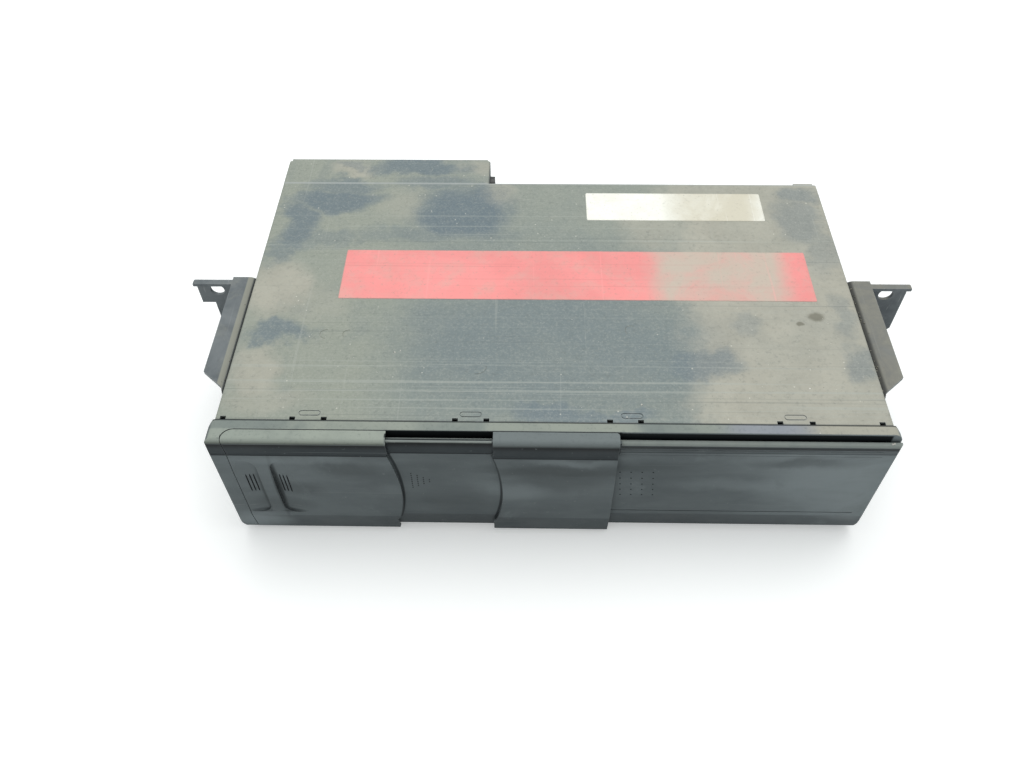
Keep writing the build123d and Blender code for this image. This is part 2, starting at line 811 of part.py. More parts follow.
with BuildPart() as magazine_case:
    block(
        (magazine_left, magazine_right),
        (-magazine_half_depth, magazine_half_depth),
        (magazine_bottom_z, magazine_top_z),
    )
    fillet(magazine_case.edges().filter_by(Axis.Z).group_by(Axis.X)[0], radius=3)
    block(
        (magazine_left + magazine_wall, magazine_right + 2),
        (-magazine_inner, magazine_inner),
        (magazine_bottom_z + magazine_wall, magazine_top_z - magazine_wall),
        mode=Mode.SUBTRACT,
    )
    # ledges under the ends of every tray
    for tray_z in tray_levels:
        for side in (-1, 1):
            block(
                (magazine_left + 0.5, magazine_right - 0.5),
                around(side * (magazine_inner - 1.1), ledge_width),
                (tray_z - gap - ledge_height, tray_z - gap),
            )
    # pull ridge on the front
    block(around(door_middle_x, 70), around(-magazine_half_depth - 1.2, 2.6), (36.5, 39.5))
    with Locations((door_middle_x, 0, magazine_top_z)):
        Cylinder(finger_radius, through, mode=Mode.SUBTRACT)
save(magazine_case.part, "magazine_case")

for number, tray_z in enumerate(tray_levels, start=1):
    with BuildPart() as tray:
        with BuildSketch(Plane.XY.offset(tray_z)):
            with Locations(((tray_left + tray_right) / 2, 0)):
                RectangleRounded(tray_right - tray_left, 2 * tray_half_depth, 4)
        extrude(amount=tray_thickness)
        # shallow pocket for the disc
        with BuildSketch(Plane.XY.offset(tray_z + tray_thickness)):
            with Locations((disc_rest_x, 0)):
                Circle(disc_radius + 0.5)
        extrude(amount=-pocket_depth, mode=Mode.SUBTRACT)
        # open middle for the turntable and the pickup
        with BuildSketch(Plane.XY.offset(tray_z)):
            with Locations((disc_rest_x, 0)):
                Circle(tray_window)
            with Locations(((disc_rest_x + tray_right) / 2, 0)):
                Rectangle(tray_right - disc_rest_x, 2 * tray_window)
        extrude(amount=tray_thickness, mode=Mode.SUBTRACT)
    save(tray.part, f"tray_{number}")

with BuildPart() as magazine_shelf:
    block((magazine_left - 2, magazine_right + 1), (-70, 65), (shelf_z, shelf_z + shelf_sheet))
    # side and rear legs stand on the floor
    block(around(magazine_left - 1.4, shelf_sheet), around(0, 120), (floor_sheet, 30))
    for x in rear_leg_x:
        block(around(x, 12), around(rear_leg_y, shelf_sheet), (floor_sheet, shelf_z))
    # front skirt with the button's window
    block(around(door_middle_x, 130), around(skirt_y, shelf_sheet), (skirt_foot_z, shelf_z))
    for x in front_leg_x:
        block(around(x, 6), around(skirt_y, shelf_sheet), (floor_sheet, skirt_foot_z))
    with Locations((button_x, skirt_y, button_z)):
        Box(16.6, 3, 5.6, mode=Mode.SUBTRACT)
save(magazine_shelf.part, "magazine_shelf")

# ---------------------------------------------------------------- eject button and lever
lever_pivot = (-70.0, -60.0)
lever_arm = 1.4            # thickness of the lever
lever_z = 11.8
lever_bore = 2.05
finger_x = button_x + 5
spring_x = button_x - 3
spring_turns = 5
spring_length = 8.2
spring_back_y = -66.6      # where the spring starts on the button's rear peg

with BuildPart() as eject_button:
    with Locations((button_x, -71.5, button_z)):
        Box(16, 6, 5)
    fillet(eject_button.faces().sort_by(Axis.Y)[0].edges(), radius=0.8)
    # shoulder that rests on the skirt, finger for the lever and peg for the spring
    with Locations((button_x, -67.8, button_z)):
        Box(18, 1.4, 4.6)
    with Locations((finger_x, -64.3, button_z)):
        Box(3, 6.2, 2.4)
    with Locations(along_y(spring_x, -66, button_z)):
        Cylinder(1.0, 3.0)
save(eject_button.part, "eject_button")

with BuildPart() as eject_lever:
    with BuildSketch(Plane.XY.offset(lever_z)):
        with Locations(((finger_x + lever_pivot[0]) / 2, lever_pivot[1] + 1.2)):
            SlotOverall(23, 4.0)
        with Locations(lever_pivot):
            Circle(4.0)
        with Locations((lever_pivot[0] + 18, lever_pivot[1])):
            SlotOverall(40, 4.0)
        with Locations(lever_pivot):
            Circle(lever_bore, mode=Mode.SUBTRACT)
    extrude(amount=lever_arm)
save(eject_lever.part, "eject_lever")

with BuildPart() as lever_post:
    with Locations(lever_pivot + ((floor_sheet + 14) / 2,)):
        Cylinder(lever_bore - 0.05, 14 - floor_sheet)
    shoulder_z = lever_z - gap
    with Locations(lever_pivot + ((floor_sheet + shoulder_z) / 2,)):
        Cylinder(3.2, shoulder_z - floor_sheet)
save(lever_post.part, "lever_post")

with BuildPart() as eject_spring:
    with BuildLine():
        coil = Helix(pitch=spring_length / spring_turns, height=spring_length, radius=1.9)
    with BuildSketch(Plane(origin=coil @ 0, z_dir=coil % 0)):
        Circle(0.25)
    sweep(path=coil, is_frenet=True)
save(Location((spring_x, spring_back_y, button_z), (-90, 0, 0)) * eject_spring.part, "eject_spring")

with BuildPart() as spring_stop:
    block(around(spring_x, 8), around(-57.0, 1.6), (floor_sheet, 15.5))
save(spring_stop.part, "spring_stop")

# ---------------------------------------------------------------- circuit board
board_sheet = 1.6
board_top_z = board_z + board_sheet
board_hole = 1.2
chips = [(-90, -20, 24, 24, 2.2), (-50, 0, 18, 12, 2.0), (-84, 24, 14, 20, 2.4), (-30, -24, 10, 16, 2)]
cans = [(-30, 30, 5.0, 8.0), (-42, 38, 4.0, 7.0), (-24, 12, 3.2, 6.0), (-62, 42, 3.2, 6.0)]

with BuildPart() as main_board:
    block(around(-60, 116), around(0.5, 108), (board_z, board_top_z))
    with Locations(*[(x, y, board_z) for x, y in board_posts]):
        Cylinder(board_hole, through, mode=Mode.SUBTRACT)
save(main_board.part, "main_board")

with BuildPart() as board_parts:
    for x, y, length, depth, height in chips:
        block(around(x, length), around(y, depth), (board_top_z, board_top_z + height))
    for x, y, radius, height in cans:
        with Locations((x, y, board_top_z + height / 2)):
            Cylinder(radius, height)
save(board_parts.part, "board_parts")

with BuildPart() as board_screws:
    with Locations(*[(x, y, board_top_z + 0.6) for x, y in board_posts]):
        Cylinder(2.4, 1.2)
    with Locations(*[(x, y, board_z + 0.9) for x, y in board_posts]):
        Cylinder(board_hole - 0.1, 1.8)
save(board_screws.part, "board_screws")

# ---------------------------------------------------------------- frame round the deck
frame_left = 18.0
frame_right = 124.0
frame_top_z = 59.0
frame_foot_z = 3.0
frame_rim = 10.0           # width of floor left along the front and back walls
shaft_x = 20.0
shaft_z = 9.4
shaft_radius = 1.2
stud_x = [50.0, 92.0]
stud_z = 52.0
stud_radius = 1.5
pin_z = deck_z + deck_sheet / 2
wall_outer_y = frame_wall_y + frame_sheet / 2
slot_width = 2 * (lift_pin_radius + gap)
pad_x = [28.0, 118.0]

with BuildPart() as deck_frame:
    frame_floor = (frame_foot_z, frame_foot_z + frame_sheet)
    window_half = wall_outer_y - frame_rim
    block((frame_left, frame_right), around(0, 2 * wall_outer_y), frame_floor)
    block(
        (frame_left + 17, frame_right - 9),
        (-window_half, window_half),
        around(frame_foot_z, 4.0),
        mode=Mode.SUBTRACT,
    )
    for side in (-1, 1):
        wall_y = side * frame_wall_y
        block((frame_left - 4, frame_right), around(wall_y, frame_sheet), (frame_foot_z, frame_top_z))
        # upright slots that keep the deck level
        for x in lift_pin_x:
            with BuildSketch(Plane.XZ.offset(-wall_y)):
                with Locations((x, pin_z + lift_height / 2)):
                    SlotOverall(lift_height + 5.0, slot_width, rotation=90)
            extrude(amount=3, both=True, mode=Mode.SUBTRACT)
        with Locations(along_y(shaft_x, wall_y, shaft_z)):
            Cylinder(shaft_radius + 0.06, through, mode=Mode.SUBTRACT)
        # studs that carry the lift plates
        for x in stud_x:
            with Locations(along_y(x, side * (lift_plate_y + 0.2), stud_z)):
                Cylinder(stud_radius, 2.6)
save(deck_frame.part, "deck_frame")

with BuildPart() as damper_pads:
    for x in pad_x:
        for side in (-1, 1):
            with Locations((x, side * 58, (floor_sheet + frame_foot_z) / 2)):
                Cylinder(4.0, frame_foot_z - floor_sheet)
save(damper_pads.part, "damper_pads")

# ---------------------------------------------------------------- lift plates and their drive
plate_left = 17.6
plate_right = 100.5
plate_bottom_z = 8.0
plate_top_z = 56.0
rack_block = 14.0          # width of the plate's foot above the rack
lift_teeth = 10
lift_pinion_radius = tooth_module * lift_teeth / 2
rack_line_z = shaft_z + lift_pinion_radius
rack_back_z = 17.0
rack_count = 11
slot_run = sqrt(lift_stroke**2 + lift_height**2)
slot_angle = 90 + degrees(acos(lift_height / slot_run))
motor_shaft_radius = 0.8
motor_bore = motor_shaft_radius + 0.05

with BuildPart() as lift_plate:
    with BuildSketch(Plane.XZ.offset(-lift_plate_sheet / 2)):
        with Locations(((plate_left + 10 + plate_right) / 2, (plate_bottom_z + plate_top_z) / 2)):
            Rectangle(plate_right - plate_left - 10, plate_top_z - plate_bottom_z)
        with Locations((plate_left + rack_block / 2, (rack_back_z - 1 + plate_top_z) / 2)):
            Rectangle(rack_block, plate_top_z - rack_back_z + 1)
        add(rack_face(shaft_x, rack_count, rack_line_z, rack_back_z))
        for x in lift_pin_x:
            with Locations((x - lift_stroke / 2, pin_z + lift_height / 2)):
                SlotCenterToCenter(slot_run, slot_width, rotation=slot_angle, mode=Mode.SUBTRACT)
        for x in stud_x:
            with Locations((x - lift_stroke / 2, stud_z)):
                SlotCenterToCenter(lift_stroke, slot_width, mode=Mode.SUBTRACT)
    extrude(amount=lift_plate_sheet)
for name, side in (("lift_plate_front", -1), ("lift_plate_rear", 1)):
    save(Pos(0, side * lift_plate_y, 0) * lift_plate.part, name)

with BuildPart() as lift_shaft:
    with Locations(along_y(shaft_x, 0, shaft_z)):
        Cylinder(shaft_radius, 2 * (wall_outer_y - gap))
    for side in (-1, 1):
        with BuildSketch(Plane.XZ.offset(-side * lift_plate_y)):
            with Locations((shaft_x, shaft_z)):
                add(wheel_face(lift_teeth, 90))
        extrude(amount=1.0, both=True)
save(lift_shaft.part, "lift_shaft")

# the motor sits lower than the shaft, so its wheel stays clear of the rack
motor_side = radians(18)
motor_x = shaft_x - 2 * lift_pinion_radius * cos(motor_side)
motor_z = shaft_z - 2 * lift_pinion_radius * sin(motor_side)
motor_front_y = -lift_plate_y + 2.4
motor_length = 24.0
with BuildPart() as lift_motor:
    with Locations(along_y(motor_x, motor_front_y + motor_length / 2, motor_z)):
        Cylinder(5.0, motor_length)
    block(around(motor_x, 6), around(motor_front_y + motor_length / 2, 20), (floor_sheet, 4.6))
    with Locations(along_y(motor_x, motor_front_y, motor_z)):
        Cylinder(motor_bore, through, mode=Mode.SUBTRACT)
save(lift_motor.part, "lift_motor")

with BuildPart() as motor_pinion:
    with BuildSketch(Plane.XZ.offset(lift_plate_y)):
        with Locations((motor_x, motor_z)):
            add(wheel_face(lift_teeth, 0))
    extrude(amount=1.0, both=True)
    with Locations(along_y(motor_x, motor_front_y - 0.7, motor_z)):
        Cylinder(motor_shaft_radius, 4.6)
save(motor_pinion.part, "motor_pinion")

# ---------------------------------------------------------------- playing deck
rod_y = 12.0
rod_z = 8.0
rod_radius = 1.2
rod_fit = rod_radius + 0.06
rod_holder_x = [65.4, 120.4]
lens_x = spindle_x + 24.0
sled_travel = 32.0
sled_gear_teeth = 16
sled_gear_radius = tooth_module * sled_gear_teeth / 2
sled_gear_z = 8.4
sled_gear_width = 2.0
sled_rack_y = 17.0
gear_x = lens_x + 9.0
gear_y = sled_rack_y + sled_gear_radius
pinion_teeth = 10
pinion_y = gear_y + tooth_module * (sled_gear_teeth + pinion_teeth) / 2
sled_rack_gap = 13 * pi * tooth_module
hinge_x = 119.2
hinge_z = 17.6
hinge_pin_radius = 1.0
post_half = 12.5
puller_rod_y = -54.0
puller_rod_z = 15.4
puller_post_x = [deck_left + 1.4, deck_right - 1.4]
puller_x = 26.0
pin_tip_y = wall_outer_y - gap
pin_length = pin_tip_y - deck_half_depth + 1

with BuildPart() as deck_plate:
    deck_depth = (-deck_half_depth, deck_half_depth)
    block((deck_left, deck_right), deck_depth, (deck_z, deck_z + deck_sheet))
    fillet(deck_plate.edges().filter_by(Axis.Z), radius=3)
    with Locations((spindle_x, 0, deck_z)):
        Cylinder(4.0, through, mode=Mode.SUBTRACT)
    with Locations((lens_x + sled_travel / 2, 0, deck_z)):
        Box(sled_travel + 11, 13, through, mode=Mode.SUBTRACT)
    with Locations((gear_x, pinion_y, deck_z)):
        Cylinder(1.4, through, mode=Mode.SUBTRACT)
    # rod holders under the plate
    for x in rod_holder_x:
        for side in (-1, 1):
            block(around(x, 1.6), around(side * rod_y, 5), (6.2, deck_z))
    # stud for the sled wheel
    with Locations((gear_x, gear_y, (deck_z + 7.6) / 2)):
        Cylinder(1.2, deck_z - 7.6)
    # posts for the clamp hinge and for the puller rod
    for side in (-1, 1):
        block(around(hinge_x, 5), around(side * (post_half - 1), 2), (deck_z, 20))
        with Locations(along_y(hinge_x, side * post_half, hinge_z)):
            Cylinder(hinge_pin_radius, 8, mode=Mode.SUBTRACT)
    for x in puller_post_x:
        block(around(x, 1.6), around(puller_rod_y, 4), (deck_z, 18))
    # lift pins at the edges
    for x in lift_pin_x:
        for side in (-1, 1):
            with Locations(along_y(x, side * (pin_tip_y - pin_length / 2), pin_z)):
                Cylinder(lift_pin_radius, pin_length)
    # bores for the three rods
    for x in rod_holder_x:
        for side in (-1, 1):
            with Locations(along_x(x, side * rod_y, rod_z)):
                Cylinder(rod_radius, through, mode=Mode.SUBTRACT)
    for x in puller_post_x:
        with Locations(along_x(x, puller_rod_y, puller_rod_z)):
            Cylinder(rod_radius, through, mode=Mode.SUBTRACT)
save(deck_plate.part, "deck_plate")

with BuildPart() as guide_rods:
    for side in (-1, 1):
        with Locations(along_x(sum(rod_holder_x) / 2, side * rod_y, rod_z)):
            Cylinder(rod_radius, rod_holder_x[1] - rod_holder_x[0] + 1.6)
save(guide_rods.part, "guide_rods")

with BuildPart() as puller_rod:
    with Locations(along_x(sum(puller_post_x) / 2, puller_rod_y, puller_rod_z)):
        Cylinder(rod_radius, deck_right - deck_left - 1.2)
save(puller_rod.part, "puller_rod")

with BuildPart() as tray_puller:
    with Locations((puller_x, puller_rod_y, puller_rod_z)):
        Box(7, 6, 4.6)
    with Locations((puller_x, puller_rod_y, 19.3)):
        Box(2.4, 5, 4.0)
    with Locations(along_x(puller_x, puller_rod_y, puller_rod_z)):
        Cylinder(rod_fit, 12, mode=Mode.SUBTRACT)
save(tray_puller.part, "tray_puller")

# ---------------------------------------------------------------- disc drive and pickup
motor_foot_z = 4.4
spindle_radius = 1.5
turntable_sheet = 1.6
with BuildPart() as spindle_motor:
    with Locations((spindle_x, 0, (motor_foot_z + deck_z) / 2)):
        Cylinder(10, deck_z - motor_foot_z)
    with Locations((spindle_x, 0, deck_z + 0.7)):
        Cylinder(3.4, 1.4)
    with Locations((spindle_x, 0, deck_z)):
        Cylinder(spindle_radius + 0.06, 8, mode=Mode.SUBTRACT)
save(spindle_motor.part, "spindle_motor")

with BuildPart() as turntable:
    with Locations((spindle_x, 0, disc_plane_z - turntable_sheet / 2)):
        Cylinder(15, turntable_sheet)
    with Locations((spindle_x, 0, 13.8)):
        Cylinder(6, 1.4)
    with Locations((spindle_x, 0, 10.6)):
        Cylinder(spindle_radius, 7.0)
    # cone that centres the disc
    with BuildSketch(Plane.XY.offset(disc_plane_z)):
        with Locations((spindle_x, 0)):
            Circle(7.4)
    extrude(amount=1.1, taper=25)
    # three small keys show that it turns
    with Locations((spindle_x, 0, disc_plane_z)):
        with PolarLocations(11.5, 3):
            Box(3.0, 1.2, 0.6, mode=Mode.SUBTRACT)
save(turntable.part, "turntable")

with BuildPart() as pickup_sled:
    with Locations((lens_x, 0, 7.9)):
        Box(17, 2 * rod_y + 7, 5.0)
    with Locations((lens_x, 0, 11.6)):
        Box(9, 11, 3.4)
    for side in (-1, 1):
        with Locations(along_x(lens_x, side * rod_y, rod_z)):
            Cylinder(rod_fit, 30, mode=Mode.SUBTRACT)
    with Locations((lens_x, 0, 12.6)):
        Cylinder(2.6, through, mode=Mode.SUBTRACT)
    with BuildSketch(Plane.XY.offset(sled_gear_z)):
        add(Location((gear_x, sled_rack_y, 0), (0, 0, 180)) * rack_face(sled_rack_gap, 14, 0, 1.6))
    extrude(amount=sled_gear_width)
save(pickup_sled.part, "pickup_sled")

with BuildPart() as lens:
    with Locations((lens_x, 0, 11.7)):
        Cylinder(2.4, 4.2)
    fillet(lens.faces().sort_by(Axis.Z)[-1].edges(), radius=1.2)
save(lens.part, "lens")

with BuildPart() as sled_gear:
    with BuildSketch(Plane.XY.offset(sled_gear_z)):
        with Locations((gear_x, gear_y)):
            add(wheel_face(sled_gear_teeth, 270))
            Circle(1.25, mode=Mode.SUBTRACT)
    extrude(amount=sled_gear_width)
save(sled_gear.part, "sled_gear")

with BuildPart() as sled_pinion:
    with BuildSketch(Plane.XY.offset(sled_gear_z)):
        with Locations((gear_x, pinion_y)):
            add(wheel_face(pinion_teeth, 0))
    extrude(amount=sled_gear_width)
    with Locations((gear_x, pinion_y, 11.4)):
        Cylinder(motor_shaft_radius, 4.0)
save(sled_pinion.part, "sled_pinion")

with BuildPart() as sled_motor:
    with Locations((gear_x, pinion_y, deck_z + deck_sheet + 1.6)):
        Cylinder(6.0, 3.2)
    with Locations((gear_x, pinion_y, deck_z)):
        Cylinder(motor_bore, through, mode=Mode.SUBTRACT)
save(sled_motor.part, "sled_motor")

# ---------------------------------------------------------------- disc clamp
arm_left = 42.0
arm_right = hinge_x + 1.6
arm_width = 18.0
arm_z = 19.5
arm_sheet = 1.0
arm_top_z = arm_z + arm_sheet
clamp_bore = 4.3
with BuildPart() as clamp_arm:
    block((arm_left, arm_right), around(0, arm_width), (arm_z, arm_top_z))
    fillet(clamp_arm.edges().filter_by(Axis.Z).group_by(Axis.X)[0], radius=6)
    with Locations((spindle_x, 0, arm_z)):
        Cylinder(clamp_bore, 4, mode=Mode.SUBTRACT)
    # long window that makes the arm lighter
    with Locations((86, 0, arm_z)):
        Box(36, 7, 4, mode=Mode.SUBTRACT)
    block(around(hinge_x, 3.2), around(0, arm_width), (hinge_z, arm_top_z))
    with Locations(along_y(hinge_x, 0, hinge_z)):
        Cylinder(2.0, arm_width)
        Cylinder(hinge_pin_radius + 0.05, arm_width + 2, mode=Mode.SUBTRACT)
save(clamp_arm.part, "clamp_arm")

with BuildPart() as clamp_pin:
    with Locations(along_y(hinge_x, 0, hinge_z)):
        Cylinder(hinge_pin_radius, 2 * post_half)
save(clamp_pin.part, "clamp_pin")

with BuildPart() as clamper:
    with Locations((spindle_x, 0, 18.35)):
        Cylinder(14, 1.7)
    with Locations((spindle_x, 0, 19.9)):
        Cylinder(clamp_bore - gap, 2.0)
    with Locations((spindle_x, 0, 21.0)):
        Cylinder(6.5, 0.4)
    # three small pits show that it turns
    with Locations((spindle_x, 0, 21.2)):
        with PolarLocations(5.2, 3):
            Cylinder(0.6, 0.8, mode=Mode.SUBTRACT)
save(clamper.part, "clamper")
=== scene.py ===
"""Looks of the car CD changer: materials, small pieces on its surfaces, floor, light and camera."""
import json
import random
from math import cos, pi, sin, sqrt

import bmesh
import bpy
from mathutils import Matrix, Vector
from mathutils.bvhtree import BVHTree


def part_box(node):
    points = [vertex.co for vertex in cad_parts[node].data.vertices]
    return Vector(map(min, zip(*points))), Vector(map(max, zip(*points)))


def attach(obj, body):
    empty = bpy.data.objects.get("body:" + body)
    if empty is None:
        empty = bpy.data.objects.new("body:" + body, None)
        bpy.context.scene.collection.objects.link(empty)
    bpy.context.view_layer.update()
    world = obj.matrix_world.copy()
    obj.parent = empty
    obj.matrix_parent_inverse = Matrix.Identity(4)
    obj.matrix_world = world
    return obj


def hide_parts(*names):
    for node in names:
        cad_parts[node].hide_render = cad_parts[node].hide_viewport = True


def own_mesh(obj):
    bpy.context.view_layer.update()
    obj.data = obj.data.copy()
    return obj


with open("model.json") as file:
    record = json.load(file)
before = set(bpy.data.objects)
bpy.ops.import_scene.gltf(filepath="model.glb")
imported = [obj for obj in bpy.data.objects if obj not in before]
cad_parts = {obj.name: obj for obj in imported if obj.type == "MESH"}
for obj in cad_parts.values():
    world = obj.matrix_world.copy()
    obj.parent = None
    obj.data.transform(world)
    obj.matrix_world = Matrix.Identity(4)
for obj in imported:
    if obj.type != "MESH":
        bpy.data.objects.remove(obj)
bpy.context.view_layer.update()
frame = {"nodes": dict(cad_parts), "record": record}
MM = 0.001
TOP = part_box("top_cover")[1][2]
rng = random.Random(7)


# ---------------------------------------------------------------- small node language for materials
class Graph:
    """One procedural material. Lengths are metres in the row frame, colours are linear."""

    def __init__(self, name):
        self.mat = bpy.data.materials.new(name)
        self.mat.use_nodes = True
        self.tree = self.mat.node_tree
        self.tree.nodes.clear()
        self.pos = self.new("ShaderNodeTexCoord").outputs["Object"]
        self.geo = self.new("ShaderNodeNewGeometry")
        self.bumps = None

    def new(self, kind, **props):
        node = self.tree.nodes.new(kind)
        for key, value in props.items():
            setattr(node, key, value)
        return node

    def put(self, socket, value):
        if isinstance(value, bpy.types.NodeSocket):
            self.tree.links.new(value, socket)
        elif isinstance(value, (tuple, list)) and socket.type == "RGBA" and len(value) == 3:
            socket.default_value = (*value, 1.0)
        else:
            socket.default_value = value

    def math(self, op, a, b=0.0, clamp=False):
        node = self.new("ShaderNodeMath", operation=op, use_clamp=clamp)
        self.put(node.inputs[0], a)
        self.put(node.inputs[1], b)
        return node.outputs[0]

    def times(self, *factors):
        product = factors[0]
        for factor in factors[1:]:
            product = self.math("MULTIPLY", product, factor)
        return product

    def most(self, *values):
        highest = values[0]
        for value in values[1:]:
            highest = self.math("MAXIMUM", highest, value)
        return highest

    def vector(self, op, a, b, c=(0, 0, 0)):
        node = self.new("ShaderNodeVectorMath", operation=op)
        self.put(node.inputs[0], a)
        self.put(node.inputs[1], b)
        self.put(node.inputs[2], c)
        return node

    def remap(self, value, low, high, out_low=0.0, out_high=1.0):
        node = self.new("ShaderNodeMapRange", interpolation_type="SMOOTHSTEP")
        self.put(node.inputs["Value"], value)
        node.inputs["From Min"].default_value = low
        node.inputs["From Max"].default_value = high
        node.inputs["To Min"].default_value = out_low
        node.inputs["To Max"].default_value = out_high
        return node.outputs["Result"]

    def between(self, value, low, high, soft):
        """1 between low and high, falling to 0 over this distance on both sides."""
        return self.times(self.remap(value, low - soft, low), self.remap(value, high + soft, high))

    def stretch(self, scale=(1, 1, 1), turn=(0, 0, 0), move=(0, 0, 0)):
        node = self.new("ShaderNodeMapping")
        self.put(node.inputs["Vector"], self.pos)
        node.inputs["Scale"].default_value = scale
        node.inputs["Rotation"].default_value = turn
        node.inputs["Location"].default_value = move
        return node.outputs["Vector"]

    def noise(self, scale, detail=4.0, rough=0.55, vector=None, warp=0.0, output="Fac"):
        node = self.new("ShaderNodeTexNoise")
        self.put(node.inputs["Vector"], vector or self.pos)
        node.inputs["Scale"].default_value = scale
        node.inputs["Detail"].default_value = detail
        node.inputs["Roughness"].default_value = rough
        node.inputs["Distortion"].default_value = warp
        return node.outputs[output]

    def spots(self, scale, size, where, vector=None):
        """Small round specks of this relative size, kept to the places where the second mask is high."""
        node = self.new("ShaderNodeTexVoronoi")
        self.put(node.inputs["Vector"], vector or self.pos)
        node.inputs["Scale"].default_value = scale
        return self.times(self.remap(node.outputs["Distance"], size, size / 2), where)

    def mix(self, factor, a, b):
        """Colour b laid over colour a. A Mix node's colour sockets come after its number and vector ones."""
        node = self.new("ShaderNodeMix", data_type="RGBA")
        self.put(node.inputs[0], factor)
        self.put(node.inputs[6], a)
        self.put(node.inputs[7], b)
        return node.outputs[2]

    def axis(self, name, vector=None):
        node = self.new("ShaderNodeSeparateXYZ")
        self.put(node.inputs[0], vector or self.pos)
        return node.outputs[name]

    def facing(self, name):
        return self.axis(name, self.geo.outputs["Normal"])

    def ragged(self, scale, reach):
        """Coordinates pushed about by noise, so that patches on them get broken outlines."""
        push = self.noise(scale, 5, 0.62, output="Color")
        half_back = tuple(-length / 2 for length in reach)
        shift = self.vector("MULTIPLY_ADD", push, reach, half_back)
        return self.vector("ADD", self.pos, shift.outputs[0]).outputs[0]

    def patch(self, where, middle, half, soft):
        """Soft oval patch. Middle and half sizes are mm along X, Y and Z; 0 leaves an axis out."""
        offset = self.vector("SUBTRACT", where, tuple(c * MM for c in middle))
        size = tuple(1 / (h * MM) if h else 0 for h in half)
        scaled_offset = self.vector("MULTIPLY", offset.outputs[0], size)
        length = self.vector("LENGTH", scaled_offset.outputs[0], (0, 0, 0))
        return self.remap(length.outputs["Value"], 1.0 + soft, 1.0 - soft)

    def edges(self, radius=0.5):
        """High on worn outer edges."""
        bevel = self.new("ShaderNodeBevel", samples=4)
        bevel.inputs["Radius"].default_value = radius * MM
        dot = self.vector("DOT_PRODUCT", bevel.outputs[0], self.geo.outputs["Normal"])
        return self.remap(dot.outputs["Value"], 0.995, 0.93)

    def bump(self, height, distance, strength=1.0):
        node = self.new("ShaderNodeBump")
        node.inputs["Distance"].default_value = distance * MM
        node.inputs["Strength"].default_value = strength
        self.put(node.inputs["Height"], height)
        if self.bumps is not None:
            self.put(node.inputs["Normal"], self.bumps)
        self.bumps = node.outputs[0]

    def streaks(self, amount, along=(6, 900, 900), turn=(0, 0, 0), move=(0, 0, 0)):
        fine = self.noise(1.0, 3, 0.6, self.stretch(along, turn, move))
        return self.remap(fine, amount, amount + 0.06)

    def finish(self, color, rough, metallic=0.0, specular=0.5):
        shader = self.new("ShaderNodeBsdfPrincipled")
        self.put(shader.inputs["Base Color"], color)
        self.put(shader.inputs["Roughness"], rough)
        self.put(shader.inputs["Metallic"], metallic)
        shader.inputs["Specular IOR Level"].default_value = specular
        if self.bumps is not None:
            self.put(shader.inputs["Normal"], self.bumps)
        out = self.new("ShaderNodeOutputMaterial")
        self.tree.links.new(shader.outputs[0], out.inputs["Surface"])
        return self.mat


DUST = (0.36, 0.36, 0.30)
TAN = (0.405, 0.395, 0.33)


def scaled(color, factor):
    return tuple(min(1.0, c * factor) for c in color)


# ---------------------------------------------------------------- materials
def plastic(name, base, rough=0.5, dust=0.35, worn=(0.16, 0.17, 0.175), grain=0.03, specular=0.5):
    """Moulded plastic with grain, rubbed edges, fine scratches and settled dust."""
    g = Graph(name)
    cloud = g.noise(28, 5, 0.6, warp=0.3)
    color = g.mix(g.remap(cloud, 0.35, 0.68), base, scaled(base, 1.3))
    scratch = g.most(g.streaks(0.66), g.streaks(0.68, (500, 8, 700), (0, 0.3, 0.5)))
    color = g.mix(g.times(scratch, 0.2), color, worn)
    rub = g.times(g.edges(), g.remap(g.noise(160, 4), 0.35, 0.6))
    color = g.mix(g.times(rub, 0.3), color, worn)
    up = g.remap(g.facing("Z"), 0.25, 0.95, 0.12, 1.0)
    thick = g.remap(g.noise(55, 6, 0.65, warp=0.5), 0.30, 0.72, 0.25, 1.0)
    film = g.times(up, thick, dust)
    specks = g.spots(520, 0.12, g.remap(g.noise(120), 0.54, 0.66))
    film = g.math("MAXIMUM", film, g.times(specks, min(0.4, dust)), clamp=True)
    color = g.mix(film, color, DUST)
    roughness = g.remap(g.noise(90, 5), 0.3, 0.7, rough - 0.07, rough + 0.08)
    roughness = g.math("ADD", roughness, g.times(film, 0.3), clamp=True)
    g.bump(g.noise(3800, 2, 0.5), grain, 0.6)
    g.bump(g.noise(60, 3), 0.05, 0.5)
    g.bump(film, 0.02, 0.5)
    return g.finish(color, roughness, 0.0, specular)


